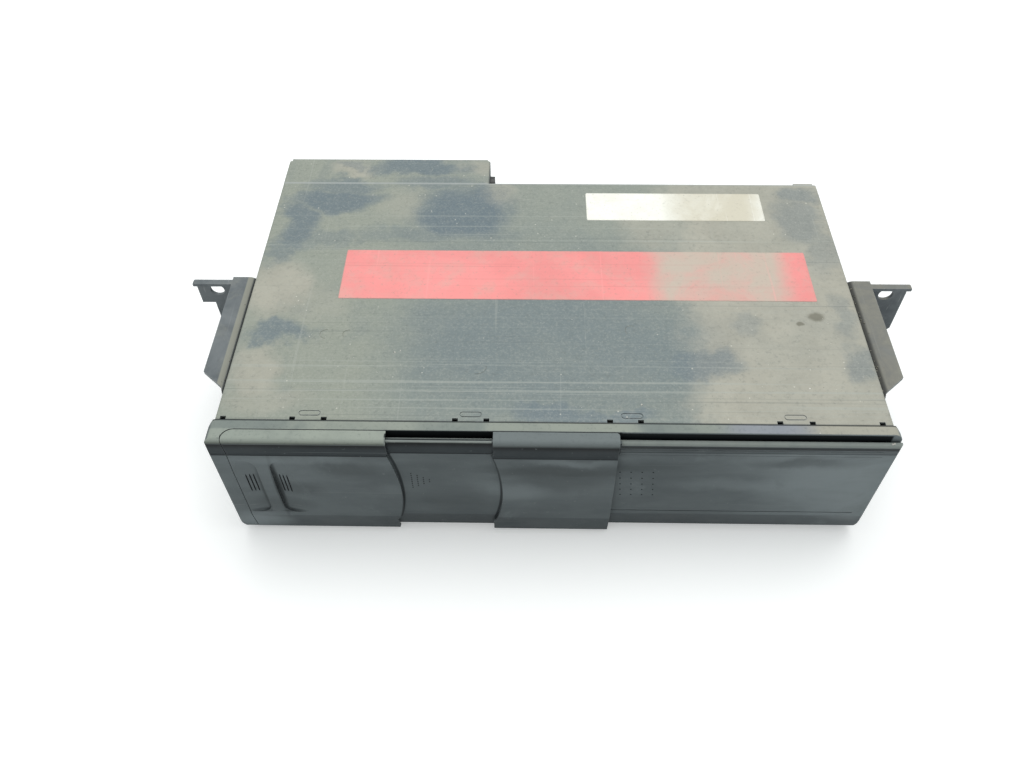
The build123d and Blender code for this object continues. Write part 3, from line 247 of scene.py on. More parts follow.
def metal(name, base, tint, rough=0.38, metallic=0.9, dust=0.15, along=(30, 1500, 1500), spots=0.4):
    """Plated or rolled sheet with brushing, dull spots, scratches and some dust."""
    g = Graph(name)
    cloud = g.noise(34, 5, 0.6, warp=0.4)
    color = g.mix(g.remap(cloud, 0.35, 0.68), base, tint)
    brush = g.noise(1.0, 3, 0.6, g.stretch(along))
    color = g.mix(g.times(g.remap(brush, 0.5, 0.75), 0.35), color, scaled(base, 1.3))
    dull = g.times(g.remap(g.noise(210, 4, 0.7), 0.6, 0.72), spots)
    color = g.mix(dull, color, scaled(base, 0.45))
    scratch = g.streaks(0.67, (700, 9, 600), (0, 0.2, 0.7))
    color = g.mix(g.times(scratch, 0.3), color, scaled(base, 1.5))
    up = g.remap(g.facing("Z"), 0.3, 0.95, 0.1, 1.0)
    film = g.times(up, g.remap(g.noise(48, 6, 0.65), 0.32, 0.7, 0.2, 1), dust)
    color = g.mix(film, color, DUST)
    roughness = g.remap(brush, 0.3, 0.7, rough - 0.08, rough + 0.1)
    roughness = g.math("ADD", roughness, g.times(film, 0.4), clamp=True)
    g.bump(brush, 0.012, 0.5)
    g.bump(cloud, 0.1, 0.35)
    return g.finish(color, roughness, g.times(g.math("SUBTRACT", 1.0, film), metallic))


# ---------------------------------------------------------------- the moulded front
FRONT_PLASTIC = (0.024, 0.030, 0.033)
FRONT_HAZE = (0.148, 0.172, 0.178)

# Places on the front in the row frame, in metres, with the doors closed. A pair is a stretch for
# between, or the start and the end of a fade for remap.
# across: the doors' parts, the panel, the bowed edges at the crease, the slot's end and changes in the dust
DOOR_SPANS = {"outer": (-0.1320, -0.0612), "low": (-0.0620, -0.0226), "grip": (-0.0222, 0.0256)}
GRIP_END = 0.0256
PANEL_START = 0.0262
OUTER_EDGE = -0.0618
GRIP_EDGE = -0.0219
SLOT_END = (0.1262, 0.1252)
OUTER_DUST = (-0.0610, -0.0620)
GRIP_DUST = (-0.0225, PANEL_START)
TAN_DUST = (0.082, 0.100)
PALER_HAZE = (0.055, 0.115)
# along the depth: the cover's seam, the ledge's edge, the slot's wall, the ridge, the painted shade before
# the low door, the doors and their lips
SEAM = (-0.0757, -0.0750)
LEDGE_EDGE = (-0.0790, -0.0800)
SLOT_WALL = (-0.0805, -0.0790)
RIDGE = (-0.0803, -0.0805)
RIDGE_CREST = (-0.0811, -0.0804)
DOOR_SHADE = (-0.0830, -0.0813)
LOW_DOOR_EDGE = (-0.0830, -0.0832)
BAND_DEPTH = (-0.0775, -0.0805)
LIP_FRONT = (-0.0839, -0.0842)
# upwards: the face, its crease, the slot with its ridge, and the lips, with the painted shade and the
# painted highlight there
FACE = (0.0110, 0.0550)
DARKER_BELOW = (0.020, 0.050)
BOW_MIDDLE = 0.0325
CREASE = 0.0562
BEAD = (0.0562, 0.0566)
UNDER_RIDGE = (0.0592, 0.0609)
RIDGE_FOOT = (0.0612, 0.0617)
SHADE_FOOT = (0.0618, 0.0622)
CREST_HEIGHT = (0.0622, 0.0634)
SLOT_HEIGHT = (0.0600, 0.0652)
SLOT_TOP = (0.0652, 0.0648)
LOW_DOOR_TOP = (0.0637, 0.0641)
BAND_SHADE = (0.0632, 0.0595)
GLEAM = (0.0634, 0.0637)
LIP_ROUND = (0.0636, 0.0662)
DUSTY_TOPS = (0.0650, 0.0656)
ABOVE_LIPS = 0.070
# a bowed edge is set back by the first at its middle and curves by the second, in metres and 1/metres
BOW_DEPTH = 0.0031
BOW_CURVE = 6.3
# how much lower the band under the lip ends on these two parts
OUTER_DROP = 0.0006
GRIP_DROP = 0.0011

# x, z, half width, half height in mm, strength: darker and lighter smears on the front; the darker ones are
# partly painted shade in the hollows of the grip and of the panel's upper face
DARK_SMEARS_AND_SHADE = (
    (2, 47, 24, 3.6, 0.75),
    (96, 50, 17, 3.2, 0.55),
    (38, 48, 13, 3.0, 0.35),
    (-78, 47, 10, 5.5, 0.55),
    (-98, 33, 9, 4.5, 0.5),
    (-40, 26, 16, 9, 0.3),
    (-110, 22, 12, 5, 0.45),
    (3, 40, 17, 6, 0.5),
    (-42, 45, 16, 8, 0.25),
)
# painted shade along the steep ends and the feet of the scoops
PAINTED_SCOOP_SHADE = (
    (-107.5, 34, 1.2, 17, 0.85),
    (-104.5, 16.9, 4.5, 0.9, 0.6),
    (-114.1, 31, 0.9, 13, 0.5),
    (-117.5, 16.9, 4.5, 0.9, 0.6),
)
PALE_SMEARS = (
    (-14, 33, 11, 5, 0.4),
    (112, 34, 22, 13, 0.75),
    (122, 20, 12, 8, 0.55),
    (-122, 8, 12, 6, 0.8),
    (74, 36, 24, 4, 0.4),
    (-96, 52.5, 26, 2.2, 0.4),
    (8, 53, 15, 1.8, 0.5),
)


def door_mask(g, part):
    """1 on one part of the doors as they stand when closed."""
    left, right = DOOR_SPANS[part]
    return g.between(g.axis("X"), left, right, 0.0004)


def left_of_panel(g):
    """1 as far to the right as the closed doors reach, 0 on the fixed panel."""
    return g.remap(g.axis("X"), PANEL_START, GRIP_END)


def off_ledge(g):
    """0 on the ledge, 1 on the doors and the panel in front of it."""
    return g.remap(g.axis("Y"), *LEDGE_EDGE)


def front_dust(g):
    """Colour of the dust that lies on the ledge and on top of the doors."""
    where = g.ragged(60, (0.012, 0.006, 0))
    patchy = g.remap(g.noise(24, 5, 0.6, warp=0.5), 0.35, 0.65)
    color = g.mix(patchy, (0.215, 0.248, 0.232), (0.305, 0.335, 0.292))
    outer = g.times(g.remap(g.axis("X"), *OUTER_DUST), off_ledge(g))
    color = g.mix(g.times(outer, 0.7), color, (0.345, 0.385, 0.335))
    color = g.mix(g.times(g.remap(g.axis("X"), *TAN_DUST), 0.9), color, TAN)
    bluish = g.patch(where, (80, -77, 0), (15, 9, 0), 0.5)
    color = g.mix(g.times(bluish, 0.75), color, (0.285, 0.305, 0.355))
    grip = g.times(g.between(g.axis("X"), *GRIP_DUST, 0.001), off_ledge(g))
    color = g.mix(g.times(grip, 0.85), color, (0.155, 0.182, 0.190))
    return g.mix(g.remap(g.noise(700, 4, 0.7), 0.5, 0.8, 0, 0.35), color, (0.085, 0.10, 0.105))


def lying_dust_and_lip_shade(g, reach):
    """How thickly the dust lies: only on the tops, and over the rounded fronts of the doors' lips, where its
    fade is partly painted shade of the rounding.
    """
    uneven = g.remap(g.noise(85, 5, 0.6), 0.2, 0.5, 0.72, 0.97)
    tops = g.times(g.remap(g.facing("Z"), 0.55, 0.93), uneven, g.remap(g.axis("Z"), *DUSTY_TOPS))
    # over the lips' rounded fronts the dust fades downwards; that fade is partly painted shade of the
    # rounding
    rounded = g.times(g.remap(g.axis("Y"), *LIP_FRONT), left_of_panel(g))
    rounded = g.times(rounded, g.remap(reach, *LIP_ROUND), 0.9)
    return g.most(tops, rounded)


def bowed_edge(g, straight_x):
    """How far right of a door's bowed edge a point is; straight_x is where the edge meets the crease."""
    rise = g.math("SUBTRACT", g.axis("Z"), BOW_MIDDLE)
    bow = g.times(rise, rise, BOW_CURVE)
    return g.math("ADD", g.math("SUBTRACT", g.axis("X"), straight_x + BOW_DEPTH), bow)


def painted_edge_shade_and_seam(g):
    """Painted shade: high on the inner door beside the outer door's edge and beside the grip's edge. Also
    high in the seam, a dark joint.
    """
    beside_outer = g.between(bowed_edge(g, OUTER_EDGE), 0.0001, 0.0007, 0.0004)
    beside_grip = g.between(bowed_edge(g, GRIP_EDGE), -0.0007, -0.0001, 0.0004)
    face = g.times(g.between(g.axis("Z"), *FACE, 0.0010), off_ledge(g))
    seam = g.times(g.between(g.axis("Y"), *SEAM, 0.0002), g.remap(g.facing("Z"), 0.5, 0.8))
    return g.most(g.times(g.most(beside_outer, beside_grip), face, 0.8), g.times(seam, 0.85))


def slot_plastic(g, color):
    """Painted shade on the walls of the slot behind the doors, in the gap before the low door, under the
    panel's ridge and along a line at its crease, and dust on the two edges that stand in it.
    """
    height = g.axis("Z")
    depth = g.axis("Y")
    low_door = door_mask(g, "low")
    panel = g.remap(g.axis("X"), GRIP_END, PANEL_START)
    inside = g.remap(g.math("ABSOLUTE", g.axis("X")), *SLOT_END)
    # painted shade: the slot's walls are darkened
    wall = g.times(g.between(depth, *SLOT_WALL, 0.0002), g.between(height, *SLOT_HEIGHT, 0.0004), inside)
    color = g.mix(wall, color, scaled(FRONT_PLASTIC, 0.3))
    # painted shade in the gap before the low door, under the panel's ridge and along the line at its crease
    shade = g.times(g.between(depth, *DOOR_SHADE, 0.0001), g.remap(height, *SHADE_FOOT), low_door)
    under_ridge = g.times(g.between(height, *UNDER_RIDGE, 0.0002), panel, 0.8)
    bead = g.times(g.between(height, *BEAD, 0.0002), panel, 0.6)
    color = g.mix(g.most(shade, under_ridge, bead), color, scaled(FRONT_PLASTIC, 0.5))
    crest = g.times(g.between(depth, *RIDGE_CREST, 0.0001), g.between(height, *CREST_HEIGHT, 0.0002))
    ridge = g.times(g.remap(height, *RIDGE_FOOT), g.remap(depth, *RIDGE), panel)
    door_edge = g.times(g.remap(depth, *LOW_DOOR_EDGE), g.remap(height, *LOW_DOOR_TOP), low_door)
    edges = g.most(crest, g.times(ridge, g.remap(height, *SLOT_TOP)), door_edge)
    dusty = g.remap(g.noise(160, 4, 0.6), 0.3, 0.6, 0.75, 1.0)
    return g.mix(g.times(edges, dusty), color, (0.225, 0.252, 0.235))


def smear(g, color, where, ovals, soft, tone):
    """Mix a tone into the colour on each of these ovals."""
    for x, z, half_x, half_z, amount in ovals:
        oval = g.patch(where, (x, 0, z), (half_x, 0, half_z), soft)
        color = g.mix(g.times(oval, amount), color, tone)
    return color


def front_haze(g):
    """Colour of the hazy face of the front with its smears and painted shade, and how hazy each place is."""
    where = g.ragged(55, (0.016, 0, 0.008))
    color = g.mix(g.remap(g.noise(30, 5, 0.6), 0.35, 0.68), FRONT_PLASTIC, scaled(FRONT_PLASTIC, 1.2))
    streaky = g.remap(g.noise(1.0, 5, 0.6, g.stretch((14, 20, 46), (0, 0.12, 0))), 0.30, 0.70, 0.6, 1.0)
    leaning = g.remap(g.facing("Z"), -0.22, 0.04, 0.3, 1.0)
    # the face is made a little darker towards the bottom
    lower = g.remap(g.axis("Z"), *DARKER_BELOW, 0.86, 1.0)
    hazy = g.times(leaning, streaky, lower)
    tint = g.vector("SCALE", FRONT_HAZE, (0, 0, 0))
    g.put(tint.inputs["Scale"], g.remap(g.axis("X"), *PALER_HAZE, 1.0, 1.5))
    color = g.mix(g.times(hazy, 0.95), color, tint.outputs[0])
    # darker smears, partly painted shade in the hollows of the grip and the panel
    color = smear(g, color, where, DARK_SMEARS_AND_SHADE, 0.6, scaled(FRONT_HAZE, 0.42))
    # painted shade in the finger scoops
    color = smear(g, color, g.pos, PAINTED_SCOOP_SHADE, 0.5, scaled(FRONT_HAZE, 0.22))
    color = smear(g, color, where, PALE_SMEARS, 0.7, scaled(FRONT_HAZE, 1.4))
    dim = g.remap(g.noise(22, 5, 0.65, warp=0.8), 0.52, 0.72, 0.0, 0.35)
    color = g.mix(dim, color, scaled(FRONT_HAZE, 0.6))
    bright = g.remap(g.noise(48, 5, 0.65), 0.58, 0.75, 0.0, 0.30)
    return g.mix(bright, color, scaled(FRONT_HAZE, 1.4)), hazy


def lip_band(g, color, reach):
    """Bare plastic on the band under the doors' lips, with painted shade darkest at its top, a line of
    painted shade at the crease below it and a painted highlight on top of it.
    """
    height = g.axis("Z")
    band = g.times(g.between(reach, CREASE, ABOVE_LIPS, 0.0003), g.remap(g.facing("Z"), 0.75, 0.45))
    band = g.times(band, left_of_panel(g), g.remap(g.axis("Y"), *BAND_DEPTH))
    # painted shade: the bare band is darkest at its top, under the lip
    bare_with_painted_shade = g.mix(g.remap(height, *BAND_SHADE), scaled(FRONT_PLASTIC, 0.25), scaled(FRONT_PLASTIC, 1.2))
    color = g.mix(g.times(band, 0.96), color, bare_with_painted_shade)
    # painted shade along the crease
    painted_crease_shade = g.times(g.between(reach, CREASE - 0.0002, CREASE + 0.0003, 0.0002), left_of_panel(g))
    color = g.mix(g.times(painted_crease_shade, 0.6), color, scaled(FRONT_PLASTIC, 0.4))
    # painted highlight along the top of the band on the outer door
    painted_gleam = g.times(g.between(height, *GLEAM, 0.0001), door_mask(g, "outer"), band)
    return g.mix(g.times(painted_gleam, 0.6), color, FRONT_HAZE)


def front_plastic(name):
    """The moulded front: grey haze on the face, bare plastic and painted shade under the lip, painted shade
    in the slot and beside the doors' edges, thick dust on the ledge.
    """
    g = Graph(name)
    color, hazy = front_haze(g)
    reach = g.math("ADD", g.axis("Z"), g.times(door_mask(g, "outer"), OUTER_DROP))
    reach = g.math("ADD", reach, g.times(door_mask(g, "grip"), GRIP_DROP))
    color = lip_band(g, color, reach)
    fine = g.most(g.streaks(0.655, (5, 700, 800)), g.streaks(0.68, (420, 8, 500), (0, 0.3, 0.5)))
    color = g.mix(g.times(fine, 0.3), color, (0.21, 0.23, 0.235))
    specks = g.spots(380, 0.09, g.remap(g.noise(70), 0.5, 0.62))
    color = g.mix(g.times(specks, 0.35), color, (0.34, 0.35, 0.32))
    lying = lying_dust_and_lip_shade(g, reach)
    color = g.mix(lying, color, front_dust(g))
    color = slot_plastic(g, color)
    # painted shade beside the doors' bowed edges, and the dark seam at the cover
    color = g.mix(painted_edge_shade_and_seam(g), color, scaled(FRONT_PLASTIC, 0.6))
    rub = g.times(g.edges(0.45), g.remap(g.noise(140, 4), 0.3, 0.6, 0.2, 1.0))
    color = g.mix(g.times(rub, 0.28), color, (0.22, 0.24, 0.245))
    roughness = g.remap(g.noise(70, 5), 0.3, 0.7, 0.40, 0.53)
    roughness = g.math("ADD", roughness, g.times(lying, 0.35))
    roughness = g.math("ADD", roughness, g.times(hazy, 0.1), clamp=True)
    g.bump(g.noise(2600, 2, 0.5), 0.02, 0.6)
    g.bump(g.noise(45, 3), 0.06, 0.5)
    return g.finish(color, roughness, 0.0, 0.08)


# ---------------------------------------------------------------- the brackets
# distances from the middle plane, in metres: the bend beside the case and the painted shade in the hollow
# before it
BEND = (0.1297, 0.1315)
HOLLOW_SHADE = (0.1297, 0.1289)
RIGHT_HOLLOW_SHADE = (0.1312, 0.1298)


def bracket_paint(name):
    """Dark paint rubbed by handling, with dust packed into the bend beside the case and painted shade in the
    hollow before it.
    """
    g = Graph(name)
    worn = g.remap(g.noise(45, 5, 0.65, warp=0.6), 0.34, 0.66)
    color = g.mix(worn, (0.094, 0.112, 0.124), (0.165, 0.186, 0.196))
    across = g.streaks(0.62, (600, 9, 60), (0, 0, 0.25))
    scratch = g.most(across, g.streaks(0.64, (12, 700, 400), (0.3, 0, 0)))
    color = g.mix(g.times(scratch, 0.4), color, (0.34, 0.36, 0.36))
    outward = g.math("ABSOLUTE", g.axis("X"))
    up = g.remap(g.facing("Z"), 0.4, 0.95)
    right = g.remap(g.axis("X"), -0.01, 0.01)
    left = g.math("SUBTRACT", 1.0, right)
    patchy = g.noise(70, 6, 0.7, warp=0.5)
    heavy = g.times(up, right, g.remap(patchy, 0.34, 0.60, 0.55, 0.95))
    color = g.mix(heavy, color, (0.205, 0.203, 0.175))
    lying = g.times(up, g.remap(patchy, 0.46, 0.70, 0.05, 0.4))
    bend = g.times(g.between(outward, *BEND, 0.0006), up, left, 0.85)
    film = g.math("MAXIMUM", lying, bend, clamp=True)
    color = g.mix(film, color, (0.30, 0.305, 0.255))
    # painted shade in the hollow between the case and the bend, wider on the right
    painted_hollow_shade = g.most(g.remap(outward, *HOLLOW_SHADE), g.times(right, g.remap(outward, *RIGHT_HOLLOW_SHADE)))
    color = g.mix(g.times(painted_hollow_shade, 0.85), color, (0.030, 0.032, 0.029))
    rub = g.times(g.edges(0.5), g.remap(g.noise(150, 4), 0.35, 0.58))
    color = g.mix(g.times(rub, 0.25), color, (0.38, 0.40, 0.41))
    rust = g.remap(g.noise(120, 5, 0.7), 0.66, 0.74, 0.0, 0.4)
    color = g.mix(rust, color, (0.13, 0.09, 0.055))
    roughness = g.remap(g.noise(60, 4), 0.3, 0.7, 0.40, 0.54)
    roughness = g.math("ADD", roughness, g.times(film, 0.3), clamp=True)
    g.bump(g.noise(500, 4), 0.05, 0.5)
    g.bump(film, 0.06, 0.6)
    return g.finish(color, roughness, 0.0, 0.22)


# ---------------------------------------------------------------- the cover
# x, y, half width, half depth in mm, strength: wiped patches and thicker dust on the cover
CLEAN_PATCHES = (
    (-99, 55, 19, 9, 0.95),
    (-116, 38, 10, 15, 0.9),
    (-119, 20, 7, 9, 0.6),
    (-38, 45, 20, 17, 1.0),
    (-96, 66, 18, 5, 0.75),
    (-112, -31, 13, 6, 0.85),
    (-2, -70, 17, 6, 0.85),
    (-62, 79, 20, 6, 0.9),
    (-54, 66, 15, 6, 0.6),
    (-92, 79, 8, 3, 0.5),
    (60, -45, 17, 8, 0.75),
    (78, -23, 7, 6, 0.35),
    (121, -44, 7, 9, 0.55),
    (112, 42, 12, 14, 0.5),
    (118, 60, 11, 7, 0.6),
    (15, -71, 22, 4, 0.75),
    (-52, 29, 36, 5, 0.4),
    (-22, 66, 10, 4, 0.35),
    (118, -20, 5, 12, 0.35),
    (-98, 28, 14, 5, 0.45),
    (120, 22, 6, 16, 0.35),
    (12, -22, 26, 17, 0.45),
    (-16, 2, 34, 8, 0.4),
)
DUST_HEAPS = (
    (-116, -5, 12, 17, 0.85),
    (-115, -51, 12, 13, 0.75),
    (-92, 77, 12, 5, 0.75),
    (-24, 60, 9, 9, 0.65),
    (-68, 50, 12, 11, 0.30),
    (46, 34, 16, 15, 0.6),
    (-112, -66, 14, 7, 0.45),
    (-34, 80, 9, 6, 0.6),
    (70, 62, 20, 5, 0.5),
    (-100, -14, 14, 10, 0.3),
)
DARK_MARKS = ((109.1, -19.8, 3.2, 2.4), (101.8, -23.8, 1.5, 1.0))
# places on the cover in metres: along its depth the scuffed bands, the front edge, the rear edge's painted
# highlight and where the dust turns paler, and across it where the paint looks darker and where the dust
# turns tan
FRONT_SCUFFS = (-0.066, -0.050)
REAR_SCUFFS = (0.024, 0.040)
COVER_FRONT = (-0.0748, -0.0751)
COVER_BACK_HIGHLIGHT = (0.0662, 0.0671)
PALER_BACK = (0.040, 0.0)
DARKER_FROM = (-0.082, -0.045)
TAN_FROM = (0.048, 0.064)


def top_dust(g):
    """Colour of the cover's top before its grain and scuffs, and how clean each place is."""
    where = g.ragged(42, (0.034, 0.030, 0))
    x = g.axis("X", where)
    darker = g.times(g.remap(x, *DARKER_FROM), g.remap(g.axis("Y", where), *PALER_BACK, 0.45, 1.0))
    color = g.mix(darker, (0.275, 0.302, 0.258), (0.205, 0.243, 0.234))
    color = g.mix(g.remap(g.noise(20, 5, 0.62, warp=0.7), 0.38, 0.64, 0.0, 0.32), color, (0.31, 0.33, 0.275))
    color = g.mix(g.remap(g.noise(33, 5, 0.62, warp=0.9), 0.50, 0.70, 0.0, 0.4), color, (0.185, 0.22, 0.216))
    tan = g.times(g.remap(x, *TAN_FROM), g.remap(g.noise(26, 4), 0.3, 0.6, 0.72, 0.95))
    for x_mid, y_mid, half_x, half_y, amount in DUST_HEAPS:
        heap = g.patch(where, (x_mid, y_mid, 0), (half_x, half_y, 0), 0.5)
        tan = g.most(tan, g.times(heap, amount))
    shade = g.mix(g.remap(g.noise(60, 4), 0.35, 0.65), scaled(TAN, 0.93), scaled(TAN, 1.05))
    color = g.mix(tan, color, shade)
    clean = g.times(g.patch(where, (2, -36, 0), (62, 30, 0), 0.45), 0.42)
    for x_mid, y_mid, half_x, half_y, amount in CLEAN_PATCHES:
        wiped = g.patch(where, (x_mid, y_mid, 0), (half_x, half_y, 0), 0.42)
        clean = g.most(clean, g.times(wiped, amount))
    return g.mix(g.times(clean, 0.92), color, (0.106, 0.150, 0.176)), clean


def cover_sides(g):
    """Darker paint on the sides of the case, under a thin film of dust."""
    color = g.mix(g.remap(g.noise(30, 5, 0.6), 0.35, 0.68), (0.075, 0.09, 0.094), (0.125, 0.14, 0.135))
    color = g.mix(g.remap(g.noise(70, 6, 0.7), 0.45, 0.7, 0.0, 0.35), color, (0.33, 0.33, 0.28))
    return g.mix(g.times(g.streaks(0.63, (12, 12, 900)), 0.25), color, (0.3, 0.32, 0.32))


def cover_scuffs(g, color, lines):
    """Fine lines across the width, strongest in two bands, and a few that run from front to back."""
    depth = g.axis("Y")
    scuffed = g.most(g.between(depth, *FRONT_SCUFFS, 0.009), g.between(depth, *REAR_SCUFFS, 0.008), 0.2)
    color = g.mix(g.times(lines, scuffed, 0.42), color, (0.40, 0.43, 0.39))
    color = g.mix(g.times(g.streaks(0.625, (4.5, 1300, 10), move=(3, 5, 0)), 0.3), color, (0.11, 0.13, 0.13))
    return g.mix(g.times(g.streaks(0.655, (500, 9, 10), (0, 0, 0.5)), 0.2), color, (0.43, 0.45, 0.41))


def cover_specks(g, color):
    """Pale specks, dark pits and the two dark marks."""
    specks = g.spots(260, 0.10, g.remap(g.noise(90), 0.50, 0.58))
    color = g.mix(g.times(specks, 0.7), color, (0.66, 0.66, 0.58))
    shifted = g.stretch(move=(0.3, 0.7, 0))
    pits = g.spots(330, 0.09, g.remap(g.noise(60), 0.54, 0.62), shifted)
    color = g.mix(g.times(pits, 0.6), color, (0.10, 0.11, 0.10))
    blots = g.ragged(350, (0.002, 0.002, 0))
    for x_mid, y_mid, half_x, half_y in DARK_MARKS:
        blot = g.patch(blots, (x_mid, y_mid, 0), (half_x, half_y, 0), 0.4)
        color = g.mix(g.times(blot, 0.72), color, (0.14, 0.135, 0.10))
    return color


def dusty_top(name):
    """Painted steel cover: dusty, with wiped patches, scuffs across its width and darker sides."""
    g = Graph(name)
    color, clean = top_dust(g)
    grain = g.noise(1100, 4, 0.72)
    color = g.mix(g.remap(grain, 0.42, 0.78, 0.0, 0.32), color, (0.47, 0.48, 0.42))
    color = g.mix(g.remap(g.noise(600, 4, 0.7), 0.5, 0.8, 0.0, 0.42), color, (0.12, 0.14, 0.135))
    lines = g.streaks(0.585, (3.5, 900, 10))
    color = cover_scuffs(g, color, lines)
    color = cover_specks(g, color)
    # dark line where the cover meets the moulded front, and a painted highlight along the edge where it
    # overlaps the rear box
    depth = g.axis("Y")
    color = g.mix(g.times(g.remap(depth, *COVER_FRONT), 0.6), color, (0.03, 0.035, 0.035))
    color = g.mix(g.times(g.between(depth, *COVER_BACK_HIGHLIGHT, 0.0003), 0.55), color, (0.40, 0.43, 0.42))
    color = g.mix(g.remap(g.facing("Z"), 0.3, 0.85), cover_sides(g), color)
    rub = g.times(g.edges(0.5), g.remap(g.noise(130, 4), 0.4, 0.6))
    color = g.mix(g.times(rub, 0.4), color, (0.36, 0.39, 0.40))
    roughness = g.remap(clean, 0.0, 0.9, 0.74, 0.5)
    roughness = g.math("ADD", roughness, g.remap(g.noise(300, 3), 0.3, 0.7, -0.05, 0.06), clamp=True)
    g.bump(grain, 0.03, 0.5)
    g.bump(g.noise(9, 3), 0.4, 0.3)
    g.bump(lines, 0.01, 0.4)
    return g.finish(color, roughness, 0.0, 0.4)


# ---------------------------------------------------------------- labels and loose dirt
def label(name, ink, faded, dusty_from, dusty_to, stain, dirt_level=0.3):
    """Printed film: faded, scuffed and dirty, with nothing printed on it. Dusty between two X values."""
    g = Graph(name)
    color = g.mix(g.remap(g.noise(22, 5, 0.6, warp=0.5), 0.35, 0.66), ink, faded)
    dirt = g.times(g.remap(g.noise(75, 6, 0.7), 0.42, 0.68), dirt_level)
    x = g.axis("X", g.ragged(60, (0.012, 0, 0)))
    dusty = g.between(x, dusty_from, dusty_to, 0.014)
    dirt = g.most(dirt, g.times(dusty, 0.97))
    dirt = g.times(dirt, g.remap(g.noise(38, 5, 0.65, warp=0.7), 0.25, 0.6, 0.5, 1.0))
    color = g.mix(dirt, color, stain)
    color = g.mix(g.times(g.streaks(0.61, (5, 1100, 10)), 0.2), color, scaled(ink, 0.6))
    color = g.mix(g.times(g.streaks(0.64, (700, 7, 10), (0, 0, 0.4)), 0.25), color, scaled(faded, 1.3))
    color = g.mix(g.remap(g.noise(700, 4, 0.7), 0.54, 0.75, 0.0, 0.35), color, scaled(stain, 0.55))
    specks = g.spots(300, 0.10, g.remap(g.noise(80), 0.5, 0.6))
    color = g.mix(g.times(specks, 0.5), color, (0.25, 0.24, 0.2))
    # grubby rim where the edge lifts and collects dust
    rim = g.times(g.edges(0.9), g.remap(g.noise(110, 4), 0.35, 0.6, 0.2, 1.0))
    color = g.mix(g.times(rim, 0.6), color, scaled(stain, 0.6))
    g.bump(g.noise(320, 4), 0.03, 0.5)
    g.bump(g.noise(40, 3), 0.12, 0.3)
    return g.finish(color, g.remap(g.noise(50, 4), 0.3, 0.7, 0.42, 0.66))


def crumb_mix(name, pale, dark):
    """Dry dust and grit, each grain a little different."""
    g = Graph(name)
    color = g.mix(g.remap(g.noise(420, 3), 0.35, 0.65), dark, pale)
    color = g.mix(g.remap(g.noise(2400, 3), 0.5, 0.75, 0.0, 0.5), color, scaled(dark, 0.6))
    g.bump(g.noise(3000, 3), 0.05, 0.8)
    return g.finish(color, g.remap(g.noise(900, 2), 0.3, 0.7, 0.75, 0.95))


# ---------------------------------------------------------------- every material, by the CAD's slot names
RED = (0.80, 0.268, 0.255)
WHITE = (0.86, 0.87, 0.80)
mats = {
    "cover_paint": dusty_top("cover_paint"),
    "dark_paint": bracket_paint("dark_paint"),
    "bezel_plastic": front_plastic("bezel_plastic"),
    "door_plastic": front_plastic("door_plastic"),
    "zinc_sheet": metal("zinc_sheet", (0.40, 0.40, 0.37), (0.27, 0.28, 0.275), 0.42, 0.8, 0.3),
    "screw_steel": metal("screw_steel", (0.30, 0.30, 0.29), (0.18, 0.18, 0.18), 0.42, 0.85, 0.25),
    "red_print": label("red_print", RED, scaled(RED, 1.12), 0.052, 0.094, (0.52, 0.46, 0.38)),
    "white_print": label("white_print", WHITE, scaled(WHITE, 1.1), 0.064, 0.090, (0.62, 0.59, 0.47), 0.25),
    "black_plastic": plastic("black_plastic", (0.018, 0.019, 0.020), 0.4, 0.08),
    "grey_plastic": plastic("grey_plastic", (0.13, 0.14, 0.15), 0.45, 0.06, (0.3, 0.3, 0.3)),
    "white_plastic": plastic("white_plastic", (0.66, 0.65, 0.60), 0.42, 0.08, (0.8, 0.8, 0.8)),
    "board_green": plastic("board_green", (0.018, 0.085, 0.036), 0.3, 0.12, (0.1, 0.25, 0.14)),
    "component_black": plastic("component_black", (0.02, 0.02, 0.022), 0.4, 0.1),
    "motor_steel": metal("motor_steel", (0.52, 0.52, 0.50), (0.42, 0.42, 0.41), 0.3, 0.95, 0.05),
    "rod_steel": metal("rod_steel", (0.66, 0.66, 0.67), (0.58, 0.58, 0.6), 0.2, 1.0, 0.02, spots=0.1),
    "pad_rubber": plastic("pad_rubber", (0.016, 0.016, 0.016), 0.75, 0.2),
    "lens_glass": plastic("lens_glass", (0.05, 0.07, 0.14), 0.12, 0.03, (0.1, 0.12, 0.2), 0.002),
    "spring_steel": metal("spring_steel", (0.5, 0.5, 0.5), (0.4, 0.4, 0.4), 0.3, 0.95, 0.02),
}
for entry in frame["record"]["subparts"]:
    node = frame["nodes"][entry["node"]]
    node.data.materials.clear()
    node.data.materials.append(mats[entry["material_slot"]])
# near-black, darker than the front's own plastic: bare plastic with painted shade, for the finger ribs'
# grooves and the small dots
bare_plastic_and_shade = plastic("bare_plastic_and_shade", (0.005, 0.006, 0.007), 0.6, 0.0, (0.03, 0.03, 0.03), specular=0.05)
dust_crumbs = crumb_mix("dust_crumbs", (0.26, 0.25, 0.20), (0.10, 0.10, 0.08))
pale_flakes = crumb_mix("pale_flakes", (0.75, 0.75, 0.68), (0.50, 0.50, 0.45))
# near-black: painted shade for the screws' crossed recesses
painted_recess_shade = metal("painted_recess_shade", (0.05, 0.05, 0.05), (0.03, 0.03, 0.03), 0.6, 0.6, 0.1)


# ---------------------------------------------------------------- small pieces on the surfaces
RAY_FRONT = -0.12  # in front of everything
RAY_ABOVE = 0.1  # above everything


